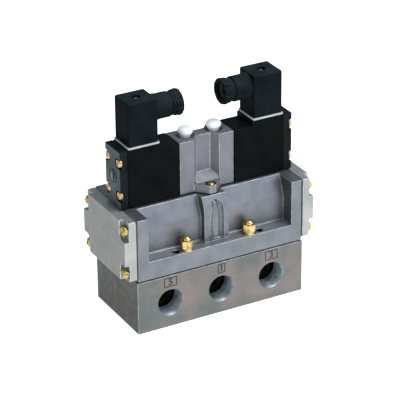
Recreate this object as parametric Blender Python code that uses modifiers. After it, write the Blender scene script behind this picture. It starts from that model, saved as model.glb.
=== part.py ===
"""Double-solenoid, pilot-operated directional valve on a ported sub-base.

Frame: metres, +Z up. X runs along the spool, -Y is the side with the three ports, and the origin is
at the bottom centre of the sub-base. The valve is built the same on its left (-X) and right (+X).
"""

import math

import bmesh
import bpy

MM = 0.001
GAP = 0.3 * MM  # between pieces that touch

# Sub-base
SUB_HALF_X = 85.0 * MM
SUB_HALF_Y = 41.0 * MM
SUB_TOP = 51.5 * MM
PORT_Z = 24.5 * MM
PORT_PITCH = 26.0 * MM  # between neighbouring flow channels along the spool
PORT_RADIUS = 12.2 * MM  # G 3/4 thread, core diameter
PORT_MOUTH_RADIUS = 13.3 * MM
PORT_DEPTH = 21.0 * MM
CHANNEL_RADIUS = 7.0 * MM
MOUNT_X = 75.0 * MM
MOUNT_Y = 30.0 * MM
MOUNT_HOLE_RADIUS = 3.4 * MM  # M8 thread, core diameter
MOUNT_DEPTH = 14.0 * MM

# Base gasket
BASE_GASKET_LOW = SUB_TOP + GAP
BASE_GASKET_HIGH = BASE_GASKET_LOW + 0.8 * MM

# Valve body
BODY_HALF_X = 84.0 * MM
BODY_HALF_Y = 41.0 * MM
BODY_LOW = BASE_GASKET_HIGH + GAP
BODY_TOP = 113.2 * MM
LEDGE_Z = 70.3 * MM
POCKET_END_X = 73.0 * MM
BARREL_Y = 26.5 * MM
BARREL_SHOULDER_Z = 96.0 * MM
BARREL_SHOULDER_RADIUS = 24.0 * MM
POST_HALF_X = 12.4 * MM
POST_Y = 32.5 * MM
POST_SHOULDER_Z = 97.0 * MM
POST_SHOULDER_RADIUS = 26.6 * MM
NICHE_RADIUS = 8.0 * MM
NICHE_Y = 36.6 * MM
BORE_Z = 83.0 * MM
BORE_RADIUS = 14.3 * MM
GROOVE_RADIUS = 18.0 * MM
PISTON_BORE_RADIUS = 21.3 * MM
PISTON_BORE_X = 70.5 * MM

# Spool and pistons, at the left end of their stroke
SPOOL_STROKE = 7.0 * MM
SPOOL_RADIUS = 14.0 * MM
SPOOL_WAIST = 8.5 * MM
SPOOL_LEFT = -77.8 * MM
SPOOL_RIGHT = 70.8 * MM
PISTON_RADIUS = 21.0 * MM
PISTON_THICK = 8.0 * MM

# Body bolts
BOLT_X = 32.0 * MM
BOLT_Y = 34.6 * MM
BOLT_RADIUS = 3.0 * MM
BOLT_TIP_Z = 39.5 * MM
LEDGE_HOLE_X = 42.5 * MM

# End covers
END_GASKET_THICK = 0.6 * MM
COVER_X = BODY_HALF_X + GAP + END_GASKET_THICK + GAP
COVER_FLANGE_X = COVER_X + 6.9 * MM
COVER_FACE_X = COVER_FLANGE_X + 4.3 * MM
COVER_LOW = 54.6 * MM
COVER_BAND_LOW = 71.5 * MM
COVER_BAND_HIGH = 94.5 * MM
COVER_NOTCH_Y = 30.5 * MM
COVER_SCREW_Y = 35.2 * MM
COVER_SCREW_Z = (61.6 * MM, 104.2 * MM)
COVER_SCREW_TIP_X = 76.0 * MM

# Pilot block
PILOT_Y = -2.3 * MM
PILOT_HALF_X = 27.3 * MM
PILOT_HALF_Y = 13.2 * MM
PILOT_GASKET_LOW = BODY_TOP + GAP
PILOT_GASKET_HIGH = PILOT_GASKET_LOW + 0.6 * MM
PILOT_LOW = PILOT_GASKET_HIGH + GAP
PILOT_TOP = 165.0 * MM
RECESS_DEPTH = 7.4 * MM
RECESS_FLOOR_HALF = 7.2 * MM
RECESS_MOUTH_HALF = 12.8 * MM
TAB_HALF = 13.4 * MM
TAB_TIP_HALF = 3.2 * MM
TAB_REACH = 11.4 * MM
TAB_TOP = 122.4 * MM
RAMP_TOP = 129.5 * MM
TAB_SCREW_Y = 20.0 * MM  # from the pilot block's middle
TAB_SCREW_TIP_Z = 97.0 * MM

# Solenoids
SOLENOID_HALF_Y = 14.2 * MM
SOLENOID_INNER_X = PILOT_HALF_X + GAP
SOLENOID_STEP_X = 46.0 * MM
SOLENOID_OUTER_X = 79.2 * MM
SOLENOID_TOP = 170.0 * MM
SOLENOID_AXIS_Z = 142.6 * MM
SOLENOID_COVER_X = SOLENOID_OUTER_X + GAP
SOLENOID_END_X = 87.2 * MM
SOLENOID_NOTCH_X = 84.4 * MM
SOLENOID_SCREW_Y = 10.3 * MM
SOLENOID_SCREW_Z = 15.8 * MM
COIL_RADIUS = 11.0 * MM
COIL_BORE = 6.3 * MM
CORE_RADIUS = 6.0 * MM
PLUNGER_RADIUS = 5.7 * MM
PLUNGER_STROKE = 1.5 * MM
PLUNGER_GAP_X = (50.0 * MM, 56.5 * MM)  # the plunger's outer end, the core's inner end

# Plug connectors
CONNECTOR_X = 62.8 * MM
CONNECTOR_HALF_X = 14.7 * MM
CONNECTOR_HALF_Y = 13.5 * MM
CONNECTOR_GASKET_LOW = SOLENOID_TOP + GAP
CONNECTOR_GASKET_HIGH = CONNECTOR_GASKET_LOW + 1.8 * MM
CONNECTOR_LOW = CONNECTOR_GASKET_HIGH + GAP
CONNECTOR_TOP = 213.0 * MM
GLAND_Z = 199.4 * MM
NECK_RADIUS = 11.6 * MM
NECK_END_X = 32.2 * MM
THREAD_RADIUS = 10.2 * MM
THREAD_END_X = 24.0 * MM
NUT_RADIUS = 12.2 * MM
NUT_END_X = 20.6 * MM
NUT_START_X = 30.4 * MM
NUT_HOLE_RADIUS = 8.4 * MM
SEAL_HOLE_RADIUS = 5.0 * MM

# Manual override buttons
BUTTON_X = 14.4 * MM
BUTTON_Y = -1.6 * MM
BUTTON_RADIUS = 7.0 * MM
BUTTON_TOP = 173.6 * MM
BUTTON_STEM_RADIUS = 3.2 * MM
BUTTON_STEM_LOW = 150.0 * MM
BUTTON_WELL_RADIUS = 8.4 * MM
BUTTON_WELL_LOW_RADIUS = 4.8 * MM
BUTTON_WELL_Z = 160.0 * MM
BUTTON_HOLE_LOW = 141.0 * MM
BUTTON_STROKE = 3.0 * MM

# Turning a piece so that its own +Z points along a world axis
ALONG_RIGHT = (0, math.pi / 2, 0)
ALONG_LEFT = (0, -math.pi / 2, 0)
ALONG_FRONT = (math.pi / 2, 0, 0)
ALONG_BACK = (-math.pi / 2, 0, 0)
# Turning an outline drawn in X and Y so that it lies in world Y and Z, with its thickness along X
OUTLINE_ACROSS_X = (math.pi / 2, 0, math.pi / 2)


def clear_scene():
    for obj in list(bpy.data.objects):
        bpy.data.objects.remove(obj, do_unlink=True)


def collection(name):
    made = bpy.data.collections.new(name)
    bpy.context.scene.collection.children.link(made)
    return made


def material(name, color, roughness, metallic=0.0):
    made = bpy.data.materials.new(name)
    made.use_nodes = True
    shader = made.node_tree.nodes["Principled BSDF"]
    shader.inputs["Base Color"].default_value = (*color, 1.0)
    shader.inputs["Roughness"].default_value = roughness
    shader.inputs["Metallic"].default_value = metallic
    return made


def make_materials():
    return {
        "sub_base": material("sub_base_aluminium", (0.30, 0.29, 0.28), 0.45, 0.8),
        "body": material("cast_aluminium", (0.29, 0.30, 0.34), 0.5, 0.8),
        "cover": material("cover_aluminium", (0.38, 0.38, 0.43), 0.5, 0.8),
        "pilot": material("pilot_aluminium", (0.31, 0.32, 0.37), 0.5, 0.8),
        "gasket": material("black_rubber", (0.01, 0.012, 0.012), 0.7),
        "plug_gasket": material("grey_rubber", (0.5, 0.53, 0.53), 0.6),
        "black": material("black_plastic", (0.009, 0.01, 0.011), 0.4),
        "gold": material("gold_plated_steel", (0.75, 0.50, 0.15), 0.25, 1.0),
        "steel": material("steel", (0.45, 0.45, 0.46), 0.3, 1.0),
        "spring": material("spring_steel", (0.5, 0.5, 0.52), 0.3, 1.0),
        "copper": material("copper_coil", (0.45, 0.16, 0.06), 0.4, 0.9),
        "spool": material("spool_aluminium", (0.5, 0.5, 0.52), 0.35, 0.9),
        "piston": material("piston_plastic", (0.03, 0.03, 0.035), 0.5),
        "button": material("button_plastic", (0.61, 0.66, 0.70), 0.35),
    }


class Workshop:
    """The collections, materials and parent that every piece is made with."""

    def __init__(self):
        self.parts = collection("solenoid_directional_valve")
        self.cutters = collection("cutters")
        self.materials = make_materials()

    def add(self, name, mesh, location=(0, 0, 0), turn=(0, 0, 0), finish=None):
        obj = bpy.data.objects.new(name, mesh)
        obj.location = location
        obj.rotation_euler = turn
        if finish:
            mesh.materials.append(self.materials[finish])
            self.parts.objects.link(obj)
        else:
            obj.hide_render = True
            obj.display_type = "WIRE"
            self.cutters.objects.link(obj)
        return obj


def mesh_from(bm, name, smooth=False):
    bmesh.ops.recalc_face_normals(bm, faces=bm.faces)
    mesh = bpy.data.meshes.new(name)
    bm.to_mesh(mesh)
    bm.free()
    if smooth:
        shade_round(mesh)
    return mesh


def shade_round(mesh):
    mesh.shade_smooth()
    mesh.set_sharp_from_angle(angle=math.radians(35))


def box_mesh(name, size):
    bm = bmesh.new()
    bmesh.ops.create_cube(bm, size=1.0)
    bmesh.ops.scale(bm, vec=size, verts=bm.verts)
    return mesh_from(bm, name)


def box(shop, name, low, high, finish=None):
    """A box between two corners."""
    size = [b - a for a, b in zip(low, high)]
    middle = [(a + b) / 2 for a, b in zip(low, high)]
    return shop.add(name, box_mesh(name, size), middle, finish=finish)


def rod_mesh(name, radius, length, segments=24):
    bm = bmesh.new()
    bmesh.ops.create_cone(
        bm, cap_ends=True, segments=segments, radius1=radius, radius2=radius, depth=length
    )
    return mesh_from(bm, name, smooth=True)


def rod_x(shop, name, radius, x_range, y, z, finish=None, segments=16):
    """A round rod along X between two X values."""
    low, high = sorted(x_range)
    mesh = rod_mesh(name, radius, high - low, segments)
    return shop.add(name, mesh, ((low + high) / 2, y, z), ALONG_RIGHT, finish)


def rod_z(shop, name, radius, z_range, x, y, finish=None, segments=16):
    """A round rod along Z between two heights."""
    low, high = sorted(z_range)
    mesh = rod_mesh(name, radius, high - low, segments)
    return shop.add(name, mesh, (x, y, (low + high) / 2), finish=finish)


def turned(shop, name, profile, location=(0, 0, 0), turn=(0, 0, 0), finish=None, steps=16, ring=False):
    """A solid of revolution about its own Z, from (radius, height) points down its outer side.

    With ring set, the profile is a closed loop and the piece has a hole through it.
    """
    bm = bmesh.new()
    points = [bm.verts.new((radius, 0, height)) for radius, height in profile]
    for first, second in zip(points, points[1:]):
        bm.edges.new((first, second))
    if ring:
        bm.edges.new((points[-1], points[0]))
    mesh = bpy.data.meshes.new(name)
    bm.to_mesh(mesh)
    bm.free()
    obj = shop.add(name, mesh, location, turn, finish)
    screw = obj.modifiers.new("turn", "SCREW")
    screw.axis = "Z"
    screw.angle = 2 * math.pi
    screw.steps = steps
    screw.render_steps = steps
    screw.use_merge_vertices = True
    screw.merge_threshold = 0.00001
    screw.use_smooth_shade = False
    return obj


def outline_mesh(name, points, thickness):
    """A flat closed outline in X and Y, as thick as given about Z = 0."""
    bm = bmesh.new()
    lower = [bm.verts.new((x, y, -thickness / 2)) for x, y in points]
    upper = [bm.verts.new((x, y, thickness / 2)) for x, y in points]
    bm.faces.new(lower)
    bm.faces.new(upper)
    for i in range(len(points)):
        j = (i + 1) % len(points)
        bm.faces.new((lower[i], lower[j], upper[j], upper[i]))
    return mesh_from(bm, name)


def plate_z(shop, name, points, z_range, finish=None):
    """An outline in X and Y between two heights."""
    low, high = z_range
    return shop.add(name, outline_mesh(name, points, high - low), (0, 0, (low + high) / 2), finish=finish)


def plate_x(shop, name, points, x_range, finish=None):
    """An outline in Y and Z between two X values."""
    low, high = sorted(x_range)
    mesh = outline_mesh(name, points, high - low)
    return shop.add(name, mesh, ((low + high) / 2, 0, 0), OUTLINE_ACROSS_X, finish)


def boolean(target, other, operation):
    modifier = target.modifiers.new(other.name, "BOOLEAN")
    modifier.operation = operation
    modifier.solver = "EXACT"
    modifier.object = other


def cut(target, *cutters):
    for cutter in cutters:
        boolean(target, cutter, "DIFFERENCE")


def join(target, *others):
    for other in others:
        boolean(target, other, "UNION")


def arc(centre, radius, start, end, steps):
    """Points on an arc, from one angle to another in degrees."""
    angles = [math.radians(start + (end - start) * i / steps) for i in range(steps + 1)]
    return [(centre[0] + radius * math.cos(a), centre[1] + radius * math.sin(a)) for a in angles]


def rounded_rectangle(low, high, radius, steps=3):
    (x0, y0), (x1, y1) = low, high
    corners = (
        ((x1 - radius, y1 - radius), 0),
        ((x0 + radius, y1 - radius), 90),
        ((x0 + radius, y0 + radius), 180),
        ((x1 - radius, y0 + radius), 270),
    )
    return [p for centre, start in corners for p in arc(centre, radius, start, start + 90, steps)]


def screw_piece(shop, name, head_radius, head_height, radius, length, location, turn, finish="gold"):
    """A pan-head screw. Its head sits on location, and its shank runs along its own -Z."""
    profile = [
        (0, head_height),
        (0.65 * head_radius, 0.9 * head_height),
        (head_radius, 0.45 * head_height),
        (head_radius, 0),
        (radius, 0),
        (radius, -length),
        (0, -length),
    ]
    return turned(shop, name, profile, location, turn, finish, steps=12)


def sides():
    return (("left", -1), ("right", 1))


# ---------------------------------------------------------------- sub-base


def make_sub_base(shop):
    base = box(
        shop,
        "sub_base",
        (-SUB_HALF_X, -SUB_HALF_Y, 0),
        (SUB_HALF_X, SUB_HALF_Y, SUB_TOP),
        finish="sub_base",
    )
    for index in range(-2, 3):
        x = index * PORT_PITCH
        front = index % 2 == 0
        face_y = -SUB_HALF_Y if front else SUB_HALF_Y
        # The mouth, the threaded bore and the drilled channel behind it, up to the valve's middle
        depth = SUB_HALF_Y + 2 * MM
        profile = [
            (0, 1 * MM),
            (PORT_MOUTH_RADIUS, 1 * MM),
            (PORT_MOUTH_RADIUS, 0),
            (PORT_RADIUS, -1.6 * MM),
            (PORT_RADIUS, -PORT_DEPTH),
            (9 * MM, -PORT_DEPTH - 1.5 * MM),
            (9 * MM, -depth),
            (0, -depth - 4 * MM),
        ]
        turn = ALONG_FRONT if front else ALONG_BACK
        port = turned(shop, f"port_cutter_{index + 3}", profile, (x, face_y, PORT_Z), turn, steps=24)
        channel = rod_z(
            shop,
            f"channel_cutter_{index + 3}",
            CHANNEL_RADIUS,
            (PORT_Z, SUB_TOP + 1 * MM),
            x,
            0,
            segments=12,
        )
        cut(base, port, channel)
    for sx in (-1, 1):
        for sy in (-1, 1):
            bolt_hole = rod_z(
                shop,
                f"sub_base_bolt_cutter_{sx}_{sy}",
                BOLT_RADIUS + GAP,
                (BOLT_TIP_Z - 1.2 * MM, SUB_TOP + 1 * MM),
                sx * BOLT_X,
                sy * BOLT_Y,
                segments=12,
            )
            mount_hole = rod_z(
                shop,
                f"mount_cutter_{sx}_{sy}",
                MOUNT_HOLE_RADIUS,
                (-1 * MM, MOUNT_DEPTH),
                sx * MOUNT_X,
                sy * MOUNT_Y,
                segments=12,
            )
            cut(base, bolt_hole, mount_hole)


def make_base_gasket(shop):
    points = rounded_rectangle(
        (-BODY_HALF_X, -BODY_HALF_Y + 0.3 * MM), (BODY_HALF_X, BODY_HALF_Y - 0.3 * MM), 2 * MM
    )
    gasket = plate_z(shop, "base_gasket", points, (BASE_GASKET_LOW, BASE_GASKET_HIGH), "gasket")
    holes = [(index * PORT_PITCH, 0, CHANNEL_RADIUS) for index in range(-2, 3)]
    holes += [(sx * BOLT_X, sy * BOLT_Y, BOLT_RADIUS + GAP) for sx in (-1, 1) for sy in (-1, 1)]
    for number, (x, y, radius) in enumerate(holes):
        hole = rod_z(
            shop,
            f"gasket_cutter_{number}",
            radius,
            (BASE_GASKET_LOW - 1 * MM, BASE_GASKET_HIGH + 1 * MM),
            x,
            y,
            segments=12,
        )
        cut(gasket, hole)


# ---------------------------------------------------------------- valve body


def pocket_outline(wall_y, shoulder_z, shoulder_radius, side):
    """The space above the ledge, outside a wall that leans back over the top, in Y and Z."""
    top_angle = math.degrees(math.asin((BODY_TOP - shoulder_z) / shoulder_radius))
    wall = arc((wall_y - shoulder_radius, shoulder_z), shoulder_radius, 0, top_angle, 5)
    out = BODY_HALF_Y + 1 * MM
    above = BODY_TOP + 1 * MM
    points = [(out, LEDGE_Z), (wall_y, LEDGE_Z)] + wall + [(wall[-1][0], above), (out, above)]
    return [(side * y, z) for y, z in points]


def bore_profile():
    """The stepped bore for the spool, with a ring groove for each flow channel, as (radius, x)."""
    end = BODY_HALF_X + 1 * MM
    profile = [(0, end), (PISTON_BORE_RADIUS, end)]
    profile += [(PISTON_BORE_RADIUS, PISTON_BORE_X), (BORE_RADIUS, PISTON_BORE_X)]
    grooves = [(43, 58), (17, 35), (-9, 9), (-35, -17), (-58, -43)]
    for low, high in grooves:
        low, high = low * MM, high * MM
        profile += [(BORE_RADIUS, high), (GROOVE_RADIUS, high)]
        profile += [(GROOVE_RADIUS, low), (BORE_RADIUS, low)]
    profile += [(BORE_RADIUS, -PISTON_BORE_X), (PISTON_BORE_RADIUS, -PISTON_BORE_X)]
    profile += [(PISTON_BORE_RADIUS, -end), (0, -end)]
    return profile


def make_valve_body(shop):
    body = box(
        shop,
        "valve_body",
        (-BODY_HALF_X, -BODY_HALF_Y, BODY_LOW),
        (BODY_HALF_X, BODY_HALF_Y, BODY_TOP),
        finish="body",
    )
    for sy in (-1, 1):
        post = pocket_outline(POST_Y, POST_SHOULDER_Z, POST_SHOULDER_RADIUS, sy)
        cut(body, plate_x(shop, f"post_cutter_{sy}", post, (-POST_HALF_X, POST_HALF_X)))
        barrel = pocket_outline(BARREL_Y, BARREL_SHOULDER_Z, BARREL_SHOULDER_RADIUS, sy)
        niche = rod_z(
            shop, f"niche_cutter_{sy}", NICHE_RADIUS, (LEDGE_Z, BODY_TOP + 1 * MM), 0, sy * NICHE_Y
        )
        cut(body, niche)
        for sx in (-1, 1):
            across = (sx * POST_HALF_X, sx * POCKET_END_X)
            cut(body, plate_x(shop, f"barrel_cutter_{sx}_{sy}", barrel, across))
            bolt_hole = rod_z(
                shop,
                f"body_bolt_cutter_{sx}_{sy}",
                BOLT_RADIUS + GAP,
                (BODY_LOW - 1 * MM, LEDGE_Z + 1 * MM),
                sx * BOLT_X,
                sy * BOLT_Y,
                segments=12,
            )
            ledge_hole = rod_z(
                shop,
                f"ledge_hole_cutter_{sx}_{sy}",
                3.4 * MM,
                (LEDGE_Z - 6 * MM, LEDGE_Z + 1 * MM),
                sx * LEDGE_HOLE_X,
                sy * BOLT_Y,
                segments=12,
            )
            cut(body, bolt_hole, ledge_hole)
            for level, z in enumerate(COVER_SCREW_Z):
                screw_hole = rod_x(
                    shop,
                    f"end_screw_cutter_{sx}_{sy}_{level}",
                    2.5 * MM + GAP,
                    (sx * (COVER_SCREW_TIP_X - 0.7 * MM), sx * (BODY_HALF_X + 1 * MM)),
                    sy * COVER_SCREW_Y,
                    z,
                    segments=12,
                )
                cut(body, screw_hole)
        tab_screw_hole = rod_z(
            shop,
            f"body_tab_screw_cutter_{sy}",
            2.2 * MM + GAP,
            (TAB_SCREW_TIP_Z - 1 * MM, BODY_TOP + 1 * MM),
            0,
            PILOT_Y + sy * TAB_SCREW_Y,
            segments=12,
        )
        cut(body, tab_screw_hole)
    bore = turned(shop, "bore_cutter", bore_profile(), (0, 0, BORE_Z), ALONG_RIGHT, steps=24)
    cut(body, bore)
    for index in range(-2, 3):
        channel = rod_z(
            shop,
            f"body_channel_cutter_{index + 3}",
            CHANNEL_RADIUS,
            (BODY_LOW - 1 * MM, BORE_Z - 0.6 * BORE_RADIUS),
            index * PORT_PITCH,
            0,
            segments=12,
        )
        cut(body, channel)


# ---------------------------------------------------------------- spool and pistons


def make_spool(shop):
    """Lands and waists from the right end to the left end, as (radius, x) down the outer side."""
    lands = [
        (58 * MM, SPOOL_RIGHT),
        (29.5 * MM, 34.5 * MM),
        (10.5 * MM, 15.5 * MM),
        (-22.5 * MM, -17.5 * MM),
        (-41.5 * MM, -36.5 * MM),
        (SPOOL_LEFT, -65 * MM),
    ]
    profile = [(0, SPOOL_RIGHT)]
    for low, high in lands:
        if high != SPOOL_RIGHT:
            profile.append((SPOOL_WAIST, high))
        profile += [(SPOOL_RADIUS, high), (SPOOL_RADIUS, low)]
        if low != SPOOL_LEFT:
            profile.append((SPOOL_WAIST, low))
    profile.append((0, SPOOL_LEFT))
    turned(shop, "spool", profile, (0, 0, BORE_Z), ALONG_RIGHT, "spool", steps=24)


def make_pistons(shop):
    """A grooved disc at each end of the spool. The inner face is the one against the spool."""
    groove = 1.6 * MM
    half = PISTON_THICK / 2
    profile = [
        (0, half),
        (PISTON_RADIUS, half),
        (PISTON_RADIUS, groove),
        (PISTON_RADIUS - 2.5 * MM, groove),
        (PISTON_RADIUS - 2.5 * MM, -groove),
        (PISTON_RADIUS, -groove),
        (PISTON_RADIUS, -half),
        (0, -half),
    ]
    centres = {"left": SPOOL_LEFT - GAP - half, "right": SPOOL_RIGHT + GAP + half}
    for name, x in centres.items():
        turned(shop, f"{name}_piston", profile, (x, 0, BORE_Z), ALONG_RIGHT, "piston", steps=24)


# ---------------------------------------------------------------- end covers


def cover_notch_outline(sy, top):
    """A cover's corner, outside its full-width band, in Y and Z. Its inner corner is rounded."""
    radius = 4.5 * MM
    out = BODY_HALF_Y + 1 * MM
    corner = (COVER_NOTCH_Y + radius, COVER_BAND_HIGH + radius)
    points = arc(corner, radius, 180, 270, 3)
    points += [(out, COVER_BAND_HIGH), (out, BODY_TOP + 1 * MM), (COVER_NOTCH_Y, BODY_TOP + 1 * MM)]
    if not top:
        points = [(y, COVER_BAND_LOW + COVER_BAND_HIGH - z) for y, z in points]
    return [(sy * y, z) for y, z in points]


def make_end_gasket(shop, side, sx):
    points = rounded_rectangle(
        (-BODY_HALF_Y + 0.4 * MM, COVER_LOW), (BODY_HALF_Y - 0.4 * MM, BODY_TOP - 0.2 * MM), 2 * MM
    )
    inner = sx * (BODY_HALF_X + GAP)
    outer = sx * (BODY_HALF_X + GAP + END_GASKET_THICK)
    gasket = plate_x(shop, f"{side}_end_gasket", points, (inner, outer), "gasket")
    past = (inner - sx * 1 * MM, outer + sx * 1 * MM)
    chamber = rod_x(
        shop, f"{side}_gasket_chamber_cutter", PISTON_BORE_RADIUS, past, 0, BORE_Z, segments=24
    )
    cut(gasket, chamber)
    for sy in (-1, 1):
        for level, z in enumerate(COVER_SCREW_Z):
            hole = rod_x(
                shop,
                f"{side}_gasket_screw_cutter_{sy}_{level}",
                2.5 * MM + GAP,
                past,
                sy * COVER_SCREW_Y,
                z,
                segments=12,
            )
            cut(gasket, hole)


def make_end_cover(shop, side, sx):
    plate = rounded_rectangle((-BODY_HALF_Y, COVER_LOW), (BODY_HALF_Y, BODY_TOP), 2.5 * MM)
    cover = plate_x(shop, f"{side}_end_cover", plate, (sx * COVER_X, sx * COVER_FACE_X), "cover")
    notch_range = (sx * COVER_FLANGE_X, sx * (COVER_FACE_X + 1 * MM))
    for sy in (-1, 1):
        for top in (False, True):
            name = f"{side}_cover_notch_{sy}_{int(top)}"
            cut(cover, plate_x(shop, name, cover_notch_outline(sy, top), notch_range))
    chamber_range = (sx * (COVER_X - 1 * MM), sx * (COVER_X + 4.4 * MM))
    chamber = rod_x(
        shop, f"{side}_cover_chamber_cutter", PISTON_BORE_RADIUS, chamber_range, 0, BORE_Z, segments=24
    )
    cut(cover, chamber)
    for sy in (-1, 1):
        for level, z in enumerate(COVER_SCREW_Z):
            hole = rod_x(
                shop,
                f"{side}_cover_screw_cutter_{sy}_{level}",
                2.5 * MM + GAP,
                (sx * (COVER_X - 1 * MM), sx * (COVER_FACE_X + 1 * MM)),
                sy * COVER_SCREW_Y,
                z,
                segments=12,
            )
            cut(cover, hole)


def make_cover_screws(shop, side, sx):
    turn = ALONG_RIGHT if sx > 0 else ALONG_LEFT
    length = COVER_FLANGE_X + GAP - COVER_SCREW_TIP_X
    for row, sy in (("front", -1), ("rear", 1)):
        for level, z in zip(("lower", "upper"), COVER_SCREW_Z):
            screw_piece(
                shop,
                f"{side}_cover_screw_{row}_{level}",
                4.4 * MM,
                3.8 * MM,
                2.5 * MM,
                length,
                (sx * (COVER_FLANGE_X + GAP), sy * COVER_SCREW_Y, z),
                turn,
            )


# ---------------------------------------------------------------- body bolts


def make_body_bolts(shop):
    """Hexagon bolts with a captive washer and a domed top, standing on the ledge."""
    seat = LEDGE_Z + GAP
    head_low, head_high = 2.2 * MM, 8.4 * MM
    profile = [
        (0, 11.8 * MM),
        (2.4 * MM, 11.4 * MM),
        (4.2 * MM, 10.0 * MM),
        (4.7 * MM, head_high),
        (4.7 * MM, 1.2 * MM),
        (6.2 * MM, 1.2 * MM),
        (6.2 * MM, 0),
        (BOLT_RADIUS, 0),
        (BOLT_RADIUS, BOLT_TIP_Z - seat + 1.5 * MM),
        (0.5 * BOLT_RADIUS, BOLT_TIP_Z - seat),
        (0, BOLT_TIP_Z - seat),
    ]
    for row, sy in (("front", -1), ("rear", 1)):
        for side, sx in sides():
            x, y = sx * BOLT_X, sy * BOLT_Y
            bolt = turned(shop, f"body_bolt_{row}_{side}", profile, (x, y, seat), finish="gold", steps=12)
            hexagon = rod_z(
                shop,
                f"bolt_hexagon_{row}_{side}",
                5.7 * MM,
                (seat + head_low, seat + head_high),
                x,
                y,
                segments=6,
            )
            join(bolt, hexagon)


# ---------------------------------------------------------------- pilot block


def pilot_outline(with_recess):
    """The block in X and Y about its own middle, with or without the trapezoid recess front and back."""
    y = PILOT_HALF_Y
    if with_recess:
        floor = y - RECESS_DEPTH
        half = [
            (PILOT_HALF_X, y),
            (RECESS_MOUTH_HALF, y),
            (RECESS_FLOOR_HALF, floor),
            (-RECESS_FLOOR_HALF, floor),
            (-RECESS_MOUTH_HALF, y),
            (-PILOT_HALF_X, y),
        ]
    else:
        tip = y + TAB_REACH
        half = [
            (PILOT_HALF_X, y),
            (TAB_HALF, y),
            (TAB_TIP_HALF, tip),
            (-TAB_TIP_HALF, tip),
            (-TAB_HALF, y),
            (-PILOT_HALF_X, y),
        ]
    points = half + [(-x, -py) for x, py in half]
    return [(x, py + PILOT_Y) for x, py in points]


def tab_outline(sy):
    inside = PILOT_HALF_Y - RECESS_DEPTH - 2 * MM
    points = [
        (TAB_HALF, inside),
        (TAB_HALF, PILOT_HALF_Y),
        (TAB_TIP_HALF, PILOT_HALF_Y + TAB_REACH),
        (-TAB_TIP_HALF, PILOT_HALF_Y + TAB_REACH),
        (-TAB_HALF, PILOT_HALF_Y),
        (-TAB_HALF, inside),
    ]
    return [(x, sy * y + PILOT_Y) for x, y in points]


def ramp_outline(sy):
    """The slope from the recess floor down to the tab's top, in Y and Z."""
    floor = PILOT_HALF_Y - RECESS_DEPTH
    below = TAB_TOP - 4 * MM
    points = [
        (floor - 1.5 * MM, below),
        (floor - 1.5 * MM, RAMP_TOP),
        (floor, RAMP_TOP),
        (PILOT_HALF_Y + 1.5 * MM, TAB_TOP),
        (PILOT_HALF_Y + 1.5 * MM, below),
    ]
    return [(sy * y + PILOT_Y, z) for y, z in points]


def make_pilot_gasket(shop):
    gasket = plate_z(
        shop,
        "pilot_gasket",
        pilot_outline(with_recess=False),
        (PILOT_GASKET_LOW, PILOT_GASKET_HIGH),
        "gasket",
    )
    for sy in (-1, 1):
        hole = rod_z(
            shop,
            f"pilot_gasket_cutter_{sy}",
            2.2 * MM + GAP,
            (PILOT_GASKET_LOW - 1 * MM, PILOT_GASKET_HIGH + 1 * MM),
            0,
            PILOT_Y + sy * TAB_SCREW_Y,
            segments=12,
        )
        cut(gasket, hole)


def make_pilot_block(shop):
    block = plate_z(
        shop, "pilot_block", pilot_outline(with_recess=True), (PILOT_LOW, PILOT_TOP), "pilot"
    )
    for sy in (-1, 1):
        tab = plate_z(shop, f"pilot_tab_{sy}", tab_outline(sy), (PILOT_LOW, TAB_TOP))
        ramp_half = RECESS_MOUTH_HALF - 1.2 * MM
        ramp = plate_x(shop, f"pilot_ramp_{sy}", ramp_outline(sy), (-ramp_half, ramp_half))
        join(block, tab, ramp)
    for sy in (-1, 1):
        y = PILOT_Y + sy * TAB_SCREW_Y
        well = rod_z(
            shop, f"tab_well_cutter_{sy}", 4.3 * MM, (TAB_TOP - 3.4 * MM, TAB_TOP + 4 * MM), 0, y
        )
        hole = rod_z(
            shop,
            f"tab_hole_cutter_{sy}",
            2.2 * MM + GAP,
            (PILOT_LOW - 1 * MM, TAB_TOP),
            0,
            y,
            segments=12,
        )
        cut(block, well, hole)
    for side, sx in sides():
        button_well = [
            (0, 1 * MM),
            (BUTTON_WELL_RADIUS, 1 * MM),
            (BUTTON_WELL_RADIUS, -0.3 * MM),
            (BUTTON_WELL_LOW_RADIUS, BUTTON_WELL_Z - PILOT_TOP),
            (BUTTON_STEM_RADIUS + GAP, BUTTON_WELL_Z - PILOT_TOP),
            (BUTTON_STEM_RADIUS + GAP, BUTTON_HOLE_LOW - PILOT_TOP),
            (0, BUTTON_HOLE_LOW - PILOT_TOP),
        ]
        well = turned(
            shop, f"{side}_button_cutter", button_well, (sx * BUTTON_X, BUTTON_Y, PILOT_TOP), steps=24
        )
        # The chamber that holds the plunger's nose, on the solenoid's axis
        chamber = rod_x(
            shop,
            f"{side}_nose_cutter",
            PLUNGER_RADIUS + GAP,
            (sx * (PILOT_HALF_X - 6 * MM), sx * (PILOT_HALF_X + 1 * MM)),
            PILOT_Y,
            SOLENOID_AXIS_Z,
        )
        cut(block, well, chamber)
        for sy in (-1, 1):
            for sz in (-1, 1):
                tapped = rod_x(
                    shop,
                    f"{side}_pilot_tapped_cutter_{sy}_{sz}",
                    1.75 * MM + GAP,
                    (sx * (PILOT_HALF_X - 9 * MM), sx * (PILOT_HALF_X + 1 * MM)),
                    PILOT_Y + sy * SOLENOID_SCREW_Y,
                    SOLENOID_AXIS_Z + sz * SOLENOID_SCREW_Z,
                    segments=12,
                )
                cut(block, tapped)


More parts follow.
